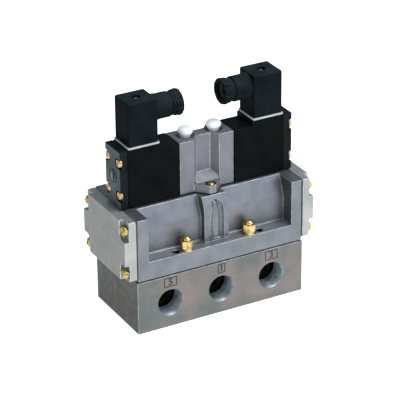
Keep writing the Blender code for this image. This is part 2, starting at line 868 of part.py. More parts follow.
def make_pilot_screws(shop):
    seat = TAB_TOP - 3.4 * MM + GAP
    for row, sy in (("front", -1), ("rear", 1)):
        screw_piece(
            shop,
            f"pilot_screw_{row}",
            3.7 * MM,
            4.4 * MM,
            2.2 * MM,
            seat - TAB_SCREW_TIP_Z,
            (0, PILOT_Y + sy * TAB_SCREW_Y, seat),
            (0, 0, 0),
        )


# ---------------------------------------------------------------- override buttons


def make_override_button(shop, side, sx):
    """A domed cap on a tapered stem. Its origin is on the axis it slides along."""
    profile = [
        (0, 8.6 * MM),
        (3.0 * MM, 8.4 * MM),
        (4.8 * MM, 7.8 * MM),
        (6.1 * MM, 6.8 * MM),
        (6.8 * MM, 5.6 * MM),
        (BUTTON_RADIUS, 4.2 * MM),
        (6.3 * MM, 2.9 * MM),
        (5.0 * MM, 0.9 * MM),
        (3.9 * MM, -0.9 * MM),
        (BUTTON_STEM_RADIUS, -2.0 * MM),
        (BUTTON_STEM_RADIUS, BUTTON_STEM_LOW - PILOT_TOP),
        (0, BUTTON_STEM_LOW - PILOT_TOP),
    ]
    place = (sx * BUTTON_X, BUTTON_Y, PILOT_TOP)
    turned(shop, f"{side}_override_button", profile, place, finish="button", steps=16)


def coil_spring(shop, name, radius, wire, length, turns, location, turn):
    """A closed-end coil spring along its own Z, standing on its origin."""
    per_turn = 8
    count = turns * per_turn
    curve = bpy.data.curves.new(name, "CURVE")
    curve.dimensions = "3D"
    curve.bevel_depth = wire / 2
    curve.bevel_resolution = 1
    curve.use_fill_caps = True
    spline = curve.splines.new("POLY")
    spline.points.add(count)
    for index, point in enumerate(spline.points):
        angle = 2 * math.pi * index / per_turn
        height = wire / 2 + (length - wire) * index / count
        point.co = (radius * math.cos(angle), radius * math.sin(angle), height, 1)
    obj = bpy.data.objects.new(name, curve)
    obj.location = location
    obj.rotation_euler = turn
    curve.materials.append(shop.materials["spring"])
    shop.parts.objects.link(obj)


def make_button_spring(shop, side, sx):
    low = BUTTON_HOLE_LOW + GAP
    coil_spring(
        shop,
        f"{side}_button_spring",
        2.4 * MM,
        0.7 * MM,
        BUTTON_STEM_LOW - GAP - low,
        4,
        (sx * BUTTON_X, BUTTON_Y, low),
        (0, 0, 0),
    )


# ---------------------------------------------------------------- solenoids


def solenoid_side_outline():
    """The housing seen from the front, in X and Z, with its low step beside the pilot block."""
    return [
        (SOLENOID_INNER_X, PILOT_LOW),
        (SOLENOID_OUTER_X, PILOT_LOW),
        (SOLENOID_OUTER_X, SOLENOID_TOP),
        (SOLENOID_STEP_X, SOLENOID_TOP),
        (SOLENOID_STEP_X, PILOT_TOP),
        (SOLENOID_INNER_X, PILOT_TOP),
    ]


def make_solenoid_housing(shop, side, sx):
    points = [(sx * x, z) for x, z in solenoid_side_outline()]
    name = f"{side}_solenoid_housing"
    mesh = outline_mesh(name, points, 2 * SOLENOID_HALF_Y)
    housing = shop.add(name, mesh, (0, PILOT_Y, 0), ALONG_FRONT, "black")
    coil_room = rod_x(
        shop,
        f"{side}_coil_room_cutter",
        COIL_RADIUS + GAP,
        (sx * (SOLENOID_INNER_X + 3.4 * MM), sx * (SOLENOID_OUTER_X + 1 * MM)),
        PILOT_Y,
        SOLENOID_AXIS_Z,
        segments=24,
    )
    tube_hole = rod_x(
        shop,
        f"{side}_tube_hole_cutter",
        COIL_BORE,
        (sx * (SOLENOID_INNER_X - 1 * MM), sx * (SOLENOID_INNER_X + 5 * MM)),
        PILOT_Y,
        SOLENOID_AXIS_Z,
        segments=24,
    )
    cut(housing, coil_room, tube_hole)
    for sy in (-1, 1):
        for sz in (-1, 1):
            hole = rod_x(
                shop,
                f"{side}_housing_screw_cutter_{sy}_{sz}",
                1.75 * MM + GAP,
                (sx * (SOLENOID_INNER_X - 1 * MM), sx * (SOLENOID_OUTER_X + 1 * MM)),
                PILOT_Y + sy * SOLENOID_SCREW_Y,
                SOLENOID_AXIS_Z + sz * SOLENOID_SCREW_Z,
                segments=12,
            )
            cut(housing, hole)


def make_solenoid_cover(shop, side, sx):
    """The end cap, with a scalloped notch at each screw and a round boss in the middle."""
    low = (sx * SOLENOID_COVER_X, PILOT_Y - SOLENOID_HALF_Y, PILOT_LOW)
    high = (sx * SOLENOID_END_X, PILOT_Y + SOLENOID_HALF_Y, SOLENOID_TOP)
    corners = [sorted(pair) for pair in zip(low, high)]
    cover = box(
        shop,
        f"{side}_solenoid_cover",
        [pair[0] for pair in corners],
        [pair[1] for pair in corners],
        finish="black",
    )
    for sy in (-1, 1):
        for sz in (-1, 1):
            y = PILOT_Y + sy * SOLENOID_SCREW_Y
            z = SOLENOID_AXIS_Z + sz * SOLENOID_SCREW_Z
            round_notch = rod_x(
                shop,
                f"{side}_notch_cutter_{sy}_{sz}",
                4.6 * MM,
                (sx * SOLENOID_NOTCH_X, sx * (SOLENOID_END_X + 1 * MM)),
                y,
                z,
            )
            hole = rod_x(
                shop,
                f"{side}_cap_screw_cutter_{sy}_{sz}",
                1.75 * MM + GAP,
                (sx * (SOLENOID_COVER_X - 1 * MM), sx * (SOLENOID_NOTCH_X + 1 * MM)),
                y,
                z,
                segments=12,
            )
            cut(cover, round_notch, hole)
    boss = rod_x(
        shop,
        f"{side}_cap_boss",
        6.5 * MM,
        (sx * (SOLENOID_END_X - 1 * MM), sx * (SOLENOID_END_X + 0.9 * MM)),
        PILOT_Y,
        SOLENOID_AXIS_Z,
        segments=24,
    )
    join(cover, boss)


def make_solenoid_screws(shop, side, sx):
    turn = ALONG_RIGHT if sx > 0 else ALONG_LEFT
    seat = SOLENOID_NOTCH_X + GAP
    for row, sy in (("front", -1), ("rear", 1)):
        for level, sz in (("lower", -1), ("upper", 1)):
            screw_piece(
                shop,
                f"{side}_solenoid_screw_{row}_{level}",
                3.6 * MM,
                2.8 * MM,
                1.75 * MM,
                seat - PILOT_HALF_X + 7.5 * MM,
                (
                    sx * seat,
                    PILOT_Y + sy * SOLENOID_SCREW_Y,
                    SOLENOID_AXIS_Z + sz * SOLENOID_SCREW_Z,
                ),
                turn,
            )


def make_coil(shop, side, sx):
    length = 42 * MM
    profile = [
        (COIL_RADIUS, length),
        (COIL_RADIUS, 0),
        (COIL_BORE, 0),
        (COIL_BORE, length),
    ]
    start = SOLENOID_INNER_X + 3.4 * MM + GAP
    turn = ALONG_RIGHT if sx > 0 else ALONG_LEFT
    place = (sx * start, PILOT_Y, SOLENOID_AXIS_Z)
    turned(shop, f"{side}_coil", profile, place, turn, "copper", ring=True)


def make_core(shop, side, sx):
    """The fixed core: a flanged plug that closes the outer end of the coil's bore."""
    inner = PLUNGER_GAP_X[1]
    flange = 74.5 * MM - inner
    end = SOLENOID_OUTER_X - GAP - inner
    profile = [
        (0, end),
        (COIL_RADIUS - 0.6 * MM, end),
        (COIL_RADIUS - 0.6 * MM, flange),
        (CORE_RADIUS, flange),
        (CORE_RADIUS, 0),
        (0, 0),
    ]
    turn = ALONG_RIGHT if sx > 0 else ALONG_LEFT
    turned(shop, f"{side}_core", profile, (sx * inner, PILOT_Y, SOLENOID_AXIS_Z), turn, "steel")


def make_plunger(shop, side, sx):
    """The sliding armature: its nose closes the pilot seat in the pilot block."""
    nose = PILOT_HALF_X - 5.5 * MM
    length = PLUNGER_GAP_X[0] - nose
    profile = [
        (0, length),
        (PLUNGER_RADIUS - 0.5 * MM, length),
        (PLUNGER_RADIUS, length - 0.5 * MM),
        (PLUNGER_RADIUS, 2.5 * MM),
        (3 * MM, 0),
        (0, 0),
    ]
    turn = ALONG_RIGHT if sx > 0 else ALONG_LEFT
    turned(shop, f"{side}_plunger", profile, (sx * nose, PILOT_Y, SOLENOID_AXIS_Z), turn, "steel")


def make_plunger_spring(shop, side, sx):
    start = PLUNGER_GAP_X[0] + GAP
    turn = ALONG_RIGHT if sx > 0 else ALONG_LEFT
    coil_spring(
        shop,
        f"{side}_plunger_spring",
        3.6 * MM,
        0.8 * MM,
        PLUNGER_GAP_X[1] - GAP - start,
        3,
        (sx * start, PILOT_Y, SOLENOID_AXIS_Z),
        turn,
    )


# ---------------------------------------------------------------- plug connectors


def make_connector_gasket(shop, side, sx):
    half_x = CONNECTOR_HALF_X + 0.9 * MM
    half_y = CONNECTOR_HALF_Y + 0.7 * MM
    x = sx * CONNECTOR_X
    points = rounded_rectangle((x - half_x, PILOT_Y - half_y), (x + half_x, PILOT_Y + half_y), 1.5 * MM)
    gasket = plate_z(
        shop,
        f"{side}_connector_gasket",
        points,
        (CONNECTOR_GASKET_LOW, CONNECTOR_GASKET_HIGH),
        "plug_gasket",
    )
    window = box(
        shop,
        f"{side}_plug_gasket_window",
        (x - 9 * MM, PILOT_Y - 9 * MM, CONNECTOR_GASKET_LOW - 1 * MM),
        (x + 9 * MM, PILOT_Y + 9 * MM, CONNECTOR_GASKET_HIGH + 1 * MM),
    )
    cut(gasket, window)


def make_connector_housing(shop, side, sx):
    """A square shell, open below, with a round cable neck that faces the middle of the valve."""
    x = sx * CONNECTOR_X
    points = rounded_rectangle(
        (x - CONNECTOR_HALF_X, PILOT_Y - CONNECTOR_HALF_Y),
        (x + CONNECTOR_HALF_X, PILOT_Y + CONNECTOR_HALF_Y),
        1.5 * MM,
    )
    housing = plate_z(
        shop, f"{side}_connector_housing", points, (CONNECTOR_LOW, CONNECTOR_TOP), "black"
    )
    turn = ALONG_LEFT if sx > 0 else ALONG_RIGHT
    start = CONNECTOR_X - CONNECTOR_HALF_X + 3 * MM
    neck_profile = [
        (0, start - THREAD_END_X),
        (THREAD_RADIUS, start - THREAD_END_X),
        (THREAD_RADIUS, start - NECK_END_X),
        (NECK_RADIUS, start - NECK_END_X),
        (NECK_RADIUS, 0),
        (0, 0),
    ]
    neck = turned(shop, f"{side}_neck", neck_profile, (sx * start, PILOT_Y, GLAND_Z), turn, steps=24)
    join(housing, neck)
    wall = 2.2 * MM
    hollow = box(
        shop,
        f"{side}_connector_hollow",
        (x - CONNECTOR_HALF_X + wall, PILOT_Y - CONNECTOR_HALF_Y + wall, CONNECTOR_LOW - 1 * MM),
        (x + CONNECTOR_HALF_X - wall, PILOT_Y + CONNECTOR_HALF_Y - wall, CONNECTOR_TOP - 7 * MM),
    )
    cable_way = rod_x(
        shop,
        f"{side}_cable_way",
        NUT_HOLE_RADIUS - 0.4 * MM,
        (sx * (THREAD_END_X - 1 * MM), sx * (CONNECTOR_X - 10 * MM)),
        PILOT_Y,
        GLAND_Z,
        segments=24,
    )
    screw_way = rod_z(
        shop,
        f"{side}_connector_screw_way",
        1.6 * MM + GAP,
        (CONNECTOR_TOP - 10 * MM, CONNECTOR_TOP + 1 * MM),
        x,
        PILOT_Y,
        segments=12,
    )
    screw_well = rod_z(
        shop,
        f"{side}_connector_screw_well",
        4.0 * MM,
        (CONNECTOR_TOP - 4 * MM, CONNECTOR_TOP + 1 * MM),
        x,
        PILOT_Y,
        segments=24,
    )
    cut(housing, hollow, cable_way, screw_way, screw_well)


def make_connector_screw(shop, side, sx):
    """The long screw that holds the connector down on its solenoid."""
    seat = CONNECTOR_TOP - 4 * MM + GAP
    screw_piece(
        shop,
        f"{side}_connector_screw",
        3.0 * MM,
        2.4 * MM,
        1.6 * MM,
        seat - CONNECTOR_GASKET_LOW - 0.5 * MM,
        (sx * CONNECTOR_X, PILOT_Y, seat),
        (0, 0, 0),
        "steel",
    )


def make_gland_nut(shop, side, sx):
    """The cable gland's nut: a ring on the neck's thread, with a lip round the cable's hole."""
    length = NUT_START_X - NUT_END_X
    lip = 2.6 * MM
    profile = [
        (NUT_RADIUS - 1.2 * MM, length),
        (NUT_RADIUS, length - 1.4 * MM),
        (NUT_RADIUS, 0),
        (THREAD_RADIUS + GAP, 0),
        (THREAD_RADIUS + GAP, length - lip),
        (NUT_HOLE_RADIUS, length - lip),
        (NUT_HOLE_RADIUS, length),
    ]
    turn = ALONG_LEFT if sx > 0 else ALONG_RIGHT
    place = (sx * NUT_START_X, PILOT_Y, GLAND_Z)
    turned(shop, f"{side}_gland_nut", profile, place, turn, "black", steps=24, ring=True)


def make_gland_seal(shop, side, sx):
    """The rubber ring inside the neck that grips a cable."""
    length = 7 * MM
    outer = NUT_HOLE_RADIUS - 0.4 * MM - GAP
    profile = [
        (outer, length),
        (outer, 0),
        (SEAL_HOLE_RADIUS, 0),
        (SEAL_HOLE_RADIUS, length),
    ]
    turn = ALONG_LEFT if sx > 0 else ALONG_RIGHT
    place = (sx * (THREAD_END_X + length + 0.5 * MM), PILOT_Y, GLAND_Z)
    turned(shop, f"{side}_gland_seal", profile, place, turn, "gasket", ring=True)


def main():
    clear_scene()
    shop = Workshop()
    make_sub_base(shop)
    make_base_gasket(shop)
    make_valve_body(shop)
    make_spool(shop)
    make_pistons(shop)
    make_body_bolts(shop)
    make_pilot_gasket(shop)
    make_pilot_block(shop)
    make_pilot_screws(shop)
    makers = (
        make_end_gasket,
        make_end_cover,
        make_cover_screws,
        make_override_button,
        make_button_spring,
        make_solenoid_housing,
        make_solenoid_cover,
        make_solenoid_screws,
        make_coil,
        make_core,
        make_plunger,
        make_plunger_spring,
        make_connector_gasket,
        make_connector_housing,
        make_connector_screw,
        make_gland_nut,
        make_gland_seal,
    )
    for side, sx in sides():
        for make in makers:
            make(shop, side, sx)


main()
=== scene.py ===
import math
import random

import bmesh
import bpy
from mathutils import Euler, Matrix, Vector


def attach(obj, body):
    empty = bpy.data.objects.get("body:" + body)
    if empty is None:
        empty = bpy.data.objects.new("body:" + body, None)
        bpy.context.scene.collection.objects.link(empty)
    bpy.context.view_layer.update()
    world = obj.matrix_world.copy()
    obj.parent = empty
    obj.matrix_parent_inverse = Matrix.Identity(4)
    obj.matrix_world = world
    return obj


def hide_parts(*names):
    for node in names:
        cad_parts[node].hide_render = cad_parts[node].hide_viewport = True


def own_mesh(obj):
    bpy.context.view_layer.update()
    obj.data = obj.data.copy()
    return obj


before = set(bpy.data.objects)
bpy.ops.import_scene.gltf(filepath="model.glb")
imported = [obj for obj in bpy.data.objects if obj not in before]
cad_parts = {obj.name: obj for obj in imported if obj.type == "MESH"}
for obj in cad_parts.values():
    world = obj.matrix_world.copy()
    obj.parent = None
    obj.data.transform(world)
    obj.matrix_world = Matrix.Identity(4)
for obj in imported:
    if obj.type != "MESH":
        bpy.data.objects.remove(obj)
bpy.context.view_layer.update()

METRES = 0.001  # one millimetre
GAP = 0.3  # the clearance between neighbouring pieces
ROOT = "valve"
RANDOM = random.Random(7)
UP = (0, 0, 1)

# The CAD model's dimensions, in millimetres
SUB_HALF_X, SUB_HALF_Y, SUB_TOP = 85, 41, 51.5
PORT_Z, PORT_PITCH = 24.5, 26
PORTS = range(-2, 3)  # places along X, the even ones on the front
PORT_RADIUS, PORT_MOUTH_RADIUS, PORT_DEPTH = 12.2, 13.3, 21
THREAD_PITCH, THREAD_DEPTH, THREAD_TURNS = 1.81, 0.45, 9
CHANNEL_RADIUS = 7
RIM_DEPTH, LIT_DEPTH = 1.6, 17  # a port's rim, with a painted highlight, and its wall, painted lighter as lit, end here; past them the bore is painted dark as shade
MARK_Z, MARK_LOW, MARK_SIZE, MARK_DEPTH = 45.2, 40, 9, 0.4
MOUNT_X, MOUNT_Y, BASE_BEVEL = 75, 30, 0.7
BODY_HALF_X, BODY_HALF_Y = 84, 41
BODY_LOW, BODY_TOP, LEDGE_Z = 52.9, 113.2, 70.3
POCKET_END_X, POST_HALF_X = 73, 12.4
POST_WALL = (32.5, 97, 26.6)  # wall Y, shoulder Z, shoulder radius
BARREL_WALL, BARREL_LEAN = (26.5, 92.5, 9), 22
POST_FOOT, BARREL_FOOT = 0.8, 2.2
BORE_Z, BORE_RADIUS, GROOVE_RADIUS = 83, 14.3, 18
BORE_GROOVES = ((43, 58), (17, 35), (-9, 9), (-35, -17), (-58, -43))
PISTON_RADIUS, PISTON_BORE_X = 21.3, 70.5
BOLT_X, BOLT_Y, BOLT_RADIUS, BOLT_LENGTH, BOLT_HOLE_LOW = 32, 34.6, 3, 31, 38.3
LEDGE_HOLE_X, LEDGE_HOLE_RADIUS = 42.5, 3.4
COVER_X, COVER_FLANGE_X, COVER_FACE_X = 85.2, 92.1, 96.4
COVER_LOW, COVER_BAND_LOW, COVER_BAND_HIGH = 54.6, 71.5, 94.5
COVER_NOTCH_Y, COVER_SCREW_Y = 30.5, 35.2
COVER_SCREW_Z, COVER_SCREW_END_X, COVER_HOLE_RADIUS = (61.6, 104.2), 75.3, 2.8
PILOT_Y, PILOT_HALF_X, PILOT_HALF_Y = -2.3, 27.3, 13.2
PILOT_LOW, PILOT_TOP, PILOT_RECESS = 114.4, 165, 7.4
TAB_TOP, TAB_WELL_DEPTH = 122.4, 3.4
TAB_SCREW_Y, TAB_SCREW_END_Z, TAB_HOLE_RADIUS = 20, 96, 2.5
SOLENOID_HALF_Y = 14.2
SOLENOID_INNER_X, SOLENOID_STEP_X, SOLENOID_OUTER_X = 27.6, 46, 79.2
SOLENOID_COVER_X, SOLENOID_END_X, SOLENOID_NOTCH_X = 79.5, 87.2, 84.4
SOLENOID_TOP, COIL_Z = 170, 142.6
SOLENOID_SCREW_Y, SOLENOID_SCREW_Z = 10.3, 15.8
SOLENOID_SCREW_END_X, SOLENOID_HOLE_RADIUS, NOSE_END_X = 18.3, 2.05, 21.3
PLUG_X, PLUG_HALF_X, PLUG_HALF_Y = 62.8, 14.7, 13.5
PLUG_GASKET_LOW, PLUG_GASKET_HIGH = 170.3, 172.1
PLUG_LOW, PLUG_TOP, PLUG_WELL_DEPTH, GLAND_Z = 172.4, 213, 4, 199.4
NECK_RADIUS, NECK_END_X, THREAD_RADIUS, THREAD_END_X = 11.6, 32.2, 10.2, 24
NUT_RADIUS, NUT_END_X, NUT_START_X, NUT_HOLE_RADIUS = 12.2, 20.6, 30.4, 8.4
BUTTON_X, BUTTON_Y, BUTTON_WELL_RADIUS, BUTTON_WELL_Z = 14.4, -1.6, 8.4, 160
BUTTON_WELL_LOW_RADIUS, BUTTON_RADIUS = 4.8, 7
BUTTON_STEM_RADIUS, BUTTON_STEM_LOW = 3.2, 150
BUTTON_SPRING_LOW, BUTTON_TRAVEL = 141.3, 3
PLUNGER_GAP_X, PLUNGER_TRAVEL = (50, 56.5), 1.5

CAMERA_PLACE = (-0.8433, -1.5498, 0.9731)  # metres
CAMERA_ANGLES = (-28.58, 26.43, -0.56)  # azimuth, elevation and roll in degrees
CAMERA_LENS = 195.9

GLOSS_PATCH = 6  # the size in millimetres of duller and shinier spots
BEVEL_ANGLE, SHARP_ANGLE = 32, 35  # edges that are rounded, and edges that are shaded as sharp

# -------- materials


def principled(name):
    """A new material, its node tree and its shader."""
    made = bpy.data.materials.new(name)
    made.use_nodes = True
    return made, made.node_tree, made.node_tree.nodes["Principled BSDF"]


def fill(node, **inputs):
    """Sets a node's inputs, each to a value or to the output it is linked to."""
    for name, value in inputs.items():
        socket = node.inputs[name.replace("_", " ")]
        if isinstance(value, bpy.types.NodeSocket):
            node.id_data.links.new(value, socket)
        else:
            socket.default_value = value


def add(tree, kind, **inputs):
    made = tree.nodes.new(kind)
    fill(made, **inputs)
    return made


def coordinates(tree, stretch=(1, 1, 1)):
    """Object coordinates, stretched along some axes for a directional pattern."""
    place = add(tree, "ShaderNodeTexCoord").outputs["Object"]
    return add(tree, "ShaderNodeMapping", Vector=place, Scale=stretch).outputs["Vector"]


def noise(tree, vector, grain, detail):
    """A noise texture whose features are about grain millimetres across."""
    scale = 1 / (grain * METRES)
    return add(tree, "ShaderNodeTexNoise", Vector=vector, Scale=scale, Detail=detail).outputs["Fac"]


def ramp(tree, value, stops):
    """The value as a colour, between two stops of position and colour."""
    made = add(tree, "ShaderNodeValToRGB", Fac=value)
    for element, (position, color) in zip(made.color_ramp.elements, stops):
        element.position = position
        element.color = (*color, 1.0)
    return made.outputs["Color"]


def map_range(tree, value, from_min, from_max, to_min=0.0, to_max=1.0):
    ends = {"From_Min": from_min, "From_Max": from_max, "To_Min": to_min, "To_Max": to_max}
    return add(tree, "ShaderNodeMapRange", Value=value, **ends).outputs["Result"]


def facing_tone(tree, tone, axis, factor):
    """The tone, multiplied by factor on faces that point along X, or up for Z: light or shade painted by
    the way a face points.
    """
    normal = add(tree, "ShaderNodeTexCoord").outputs["Normal"]
    amount = add(tree, "ShaderNodeSeparateXYZ", Vector=normal).outputs[axis]
    start, full = 0.1, 0.95  # the part of the normal from which the factor begins and is whole
    if axis == "X":
        absolute = add(tree, "ShaderNodeMath", Value=amount)
        absolute.operation = "ABSOLUTE"
        amount = absolute.outputs["Value"]
        start = 0.6
    mix = tree.nodes.new("ShaderNodeMix")
    mix.data_type = "RGBA"
    mix.blend_type = "MULTIPLY"
    warm_factor = (factor, factor, 0.96 * factor, 1.0)
    fill(mix, Factor=map_range(tree, amount, start, full), A=tone, B=warm_factor)
    return mix.outputs["Result"]


def relief_bump(tree, shader, height, depth):
    """Makes the shader's surface rise by up to depth millimetres."""
    bump = add(tree, "ShaderNodeBump", Height=height, Strength=1.0, Distance=depth * METRES)
    fill(shader, Normal=bump.outputs["Normal"])


def surface(
    name,
    dark,
    light,
    roughness,
    metallic=0,
    patch=18,
    grain=0.5,
    relief=0.04,
    stretch=(1, 1, 1),
    end_tone=None,
    dust=None,
    **constants,
):
    """A material with patchy colour, uneven gloss and a fine relief.

    roughness holds its lowest and highest value. patch, grain and relief are in millimetres. One factor
    multiplies the tone of faces that point along X, painting shade on them or a sheen where it is above
    1, and another that of faces that point up, painting a sheen. constants go to the shader's own sockets.
    """
    made, tree, shader = principled(name)
    vector = coordinates(tree, stretch)
    tone = ramp(tree, noise(tree, coordinates(tree), patch, 4.0), [(0.34, dark), (0.66, light)])
    # painted shade on faces that point along X, or a painted sheen where the factor is above 1
    if end_tone:
        tone = facing_tone(tree, tone, "X", end_tone)
    # a painted sheen on faces that point up
    if dust:
        tone = facing_tone(tree, tone, "Z", dust)
    gloss = map_range(tree, noise(tree, vector, GLOSS_PATCH, 4.0), 0.3, 0.7, *roughness)
    fill(shader, Base_Color=tone, Roughness=gloss, Metallic=metallic, **constants)
    relief_bump(tree, shader, noise(tree, vector, grain, 3.0), relief)
    return made


def winding(name):
    """Enamelled wire wound round the X axis, one turn beside the next."""
    made, tree, shader = principled(name)
    turns = add(tree, "ShaderNodeTexWave", Vector=coordinates(tree), Scale=1400, Distortion=0.3)
    turns.bands_direction = "X"
    height = turns.outputs["Fac"]
    copper = ramp(tree, height, [(0.0, (0.16, 0.05, 0.02)), (1.0, (0.55, 0.20, 0.08))])
    fill(shader, Base_Color=copper, Metallic=0.9, Roughness=0.35)
    relief_bump(tree, shader, height, 0.15)
    return made


def make_materials():
    """The materials, by the short names that the pieces use."""
    fine = {"grain": 0.35, "relief": 0.02}
    cast = {"grain": 0.55, "relief": 0.05}
    edge = {"patch": 4, "grain": 0.5, "relief": 0.03}
    moulded = {"grain": 0.6, "relief": 0.03}
    milled = {"patch": 28, "grain": 0.3, "relief": 0.03, "stretch": (0.12, 1, 1)}
    translucent = {"Subsurface_Weight": 0.35, "Subsurface_Radius": (1, 1, 1), "Subsurface_Scale": 0.004}
    # Each row: name, darkest and lightest tone, lowest and highest roughness, metallic unless it's 0
    rows = {
        "sub_base": ("milled_aluminium", (0.112, 0.133, 0.126), (0.208, 0.176, 0.168), (0.38, 0.52), 0.7),
        # a lighter tone on rounded edges: a painted highlight
        "base_edge": ("highlight_edge_aluminium", (0.16, 0.165, 0.16), (0.3, 0.305, 0.3), (0.34, 0.48), 0.7),
        # the port rows: a painted highlight on the rim, painted light on the wall, painted shade deep in
        # bores and holes
        "port_rim": ("port_rim_highlight", (0.2, 0.23, 0.24), (0.36, 0.4, 0.42), (0.4, 0.52), 0.7),
        "port_wall": ("lit_tapped_wall", (0.24, 0.28, 0.3), (0.5, 0.54, 0.57), (0.3, 0.44), 0.8),
        "deep": ("painted_depth_shade", (0.004, 0.005, 0.004), (0.01, 0.011, 0.01), (0.5, 0.7)),
        "marking": ("engraved_floor", (0.03, 0.03, 0.03), (0.05, 0.05, 0.05), (0.6, 0.75)),
        "body": ("cast_body", (0.15, 0.16, 0.176), (0.2, 0.208, 0.226), (0.35, 0.47), 0.7),
        # a lighter tone on rounded edges: a painted highlight
        "body_edge": ("highlight_edge_body", (0.18, 0.19, 0.205), (0.38, 0.39, 0.42), (0.32, 0.46), 0.65),
        # a lighter tone on the ledge's top: painted light
        "ledge": ("ledge_painted_light", (0.24, 0.25, 0.265), (0.32, 0.33, 0.35), (0.32, 0.46), 0.6),
        "cover": ("cast_cover", (0.32, 0.328, 0.322), (0.4, 0.4, 0.39), (0.42, 0.56), 0.55),
        # a lighter tone on rounded edges: a painted highlight
        "cover_edge": ("highlight_edge_cover", (0.3, 0.31, 0.31), (0.52, 0.53, 0.53), (0.32, 0.46), 0.55),
        "pilot": ("cast_pilot", (0.168, 0.172, 0.19), (0.214, 0.218, 0.238), (0.5, 0.64), 0.6),
        # a lighter tone on rounded edges: a painted highlight
        "pilot_edge": ("highlight_edge_pilot", (0.19, 0.195, 0.215), (0.38, 0.385, 0.41), (0.32, 0.46), 0.65),
        "gasket": ("nitrile_rubber", (0.004, 0.005, 0.005), (0.009, 0.01, 0.01), (0.6, 0.8)),
        "end_gasket": ("fibre_sheet", (0.05, 0.055, 0.052), (0.08, 0.085, 0.08), (0.7, 0.85)),
        "plug_gasket": ("grey_rubber", (0.36, 0.39, 0.39), (0.46, 0.49, 0.49), (0.5, 0.65)),
        "black": ("moulded_plastic", (0.0019, 0.0025, 0.0024), (0.0043, 0.0053, 0.0052), (0.36, 0.5)),
        "plug_black": ("plug_plastic", (0.0056, 0.008, 0.0094), (0.0092, 0.0124, 0.0145), (0.36, 0.5)),
        "cap_black": ("cap_plastic", (0.005, 0.007, 0.0075), (0.01, 0.013, 0.014), (0.4, 0.52)),
        # a lighter tone on the caps' boss and lug: a painted highlight
        "cap_mark": ("cap_boss_highlight", (0.07, 0.085, 0.088), (0.13, 0.15, 0.15), (0.4, 0.55), 0.2),
        "gold": ("yellow_zinc", (0.4, 0.27, 0.09), (0.78, 0.6, 0.29), (0.18, 0.34), 1),
        "dull_gold": ("aged_zinc", (0.28, 0.2, 0.065), (0.66, 0.51, 0.2), (0.22, 0.4), 1),
        "copper_zinc": ("red_zinc", (0.36, 0.21, 0.1), (0.66, 0.45, 0.25), (0.22, 0.38), 1),
        "steel": ("bright_steel", (0.42, 0.42, 0.43), (0.56, 0.56, 0.57), (0.2, 0.36), 1),
        "spring": ("drawn_wire", (0.4, 0.4, 0.42), (0.55, 0.55, 0.57), (0.25, 0.4), 1),
        "spool": ("anodised_spool", (0.42, 0.42, 0.44), (0.52, 0.52, 0.55), (0.25, 0.4), 0.9),
        "piston": ("piston_plastic", (0.02, 0.02, 0.024), (0.035, 0.035, 0.04), (0.4, 0.55)),
        "button": ("translucent_plastic", (0.86, 0.89, 0.91), (0.93, 0.95, 0.97), (0.26, 0.36)),
    }
    settings = {
        **dict.fromkeys(("base_edge", "port_rim", "body_edge", "cover_edge", "pilot_edge"), edge),
        **dict.fromkeys(("pilot", "gasket"), cast),
        **dict.fromkeys(("gold", "dull_gold"), {"patch": 2.5, **fine}),
        **dict.fromkeys(("copper_zinc", "cap_mark"), {"patch": 3, **fine}),
        # end faces darkened: painted shade
        "sub_base": {"end_tone": 0.28, **milled},
        "port_wall": {"patch": 5, **fine},
        "deep": {"Specular_IOR_Level": 0.1, **fine},
        # end faces of the body and the covers darkened: painted shade
        "body": {"end_tone": 0.5, **cast},
        "cover": {"end_tone": 0.53, **cast},
        # upward faces lightened: a painted sheen
        "black": {"dust": 1.9, "Specular_IOR_Level": 0.03, **moulded},
        # end faces darkened, painted shade, and upward faces lightened, a painted sheen
        "plug_black": {"end_tone": 0.6, "dust": 2.3, "Specular_IOR_Level": 0.005, **moulded},
        # end faces lightened: a painted reflection
        "cap_black": {"end_tone": 7.5, "Specular_IOR_Level": 0.05, **moulded},
        "spool": {"stretch": (8, 1, 1), **fine},
        "button": {"patch": 8, "Coat_Weight": 0.2, **translucent, **fine},
    }
    made = {slot: surface(*row, **settings.get(slot, fine)) for slot, row in rows.items()}
    made["copper"] = winding("copper_winding")
    return made


MATERIALS = make_materials()

# -------- mesh tools


def linked(name, data):
    """A new object in the scene that shows this data."""
    made = bpy.data.objects.new(name, data)
    bpy.context.scene.collection.objects.link(made)
    return made


def new_object(name, bm):
    """A new object from a bmesh, its faces turned outwards."""
    bmesh.ops.recalc_face_normals(bm, faces=bm.faces)
    mesh = bpy.data.meshes.new(name)
    bm.to_mesh(mesh)
    bm.free()
    return linked(name, mesh)


def box(name, low, high, bevel=0.0, segments=3):
    """A box between two corners, with rounded edges if bevel is given."""
    bm = bmesh.new()
    bmesh.ops.create_cube(bm, size=1.0)
    size = [abs(b - a) for a, b in zip(low, high)]
    middle = [(a + b) / 2 for a, b in zip(low, high)]
    bmesh.ops.scale(bm, vec=size, verts=bm.verts)
    bmesh.ops.translate(bm, vec=middle, verts=bm.verts)
    if bevel:
        bmesh.ops.bevel(bm, geom=bm.edges[:], offset=bevel, segments=segments, affect="EDGES", profile=0.5)
    return new_object(name, bm)


def prism(name, points, axis, low, high):
    """A flat outline, in the two axes other than axis, carried from low to high along axis."""
    low, high = sorted((low, high))

    def place(u, v, w):
        return {"X": (w, u, v), "Y": (u, w, v), "Z": (u, v, w)}[axis]

    bm = bmesh.new()
    ends = [[bm.verts.new(place(u, v, w)) for u, v in points] for w in (low, high)]
    for end in ends:
        bm.faces.new(end)
    for i in range(len(points)):
        j = (i + 1) % len(points)
        bm.faces.new((ends[0][i], ends[0][j], ends[1][j], ends[1][i]))
    return new_object(name, bm)


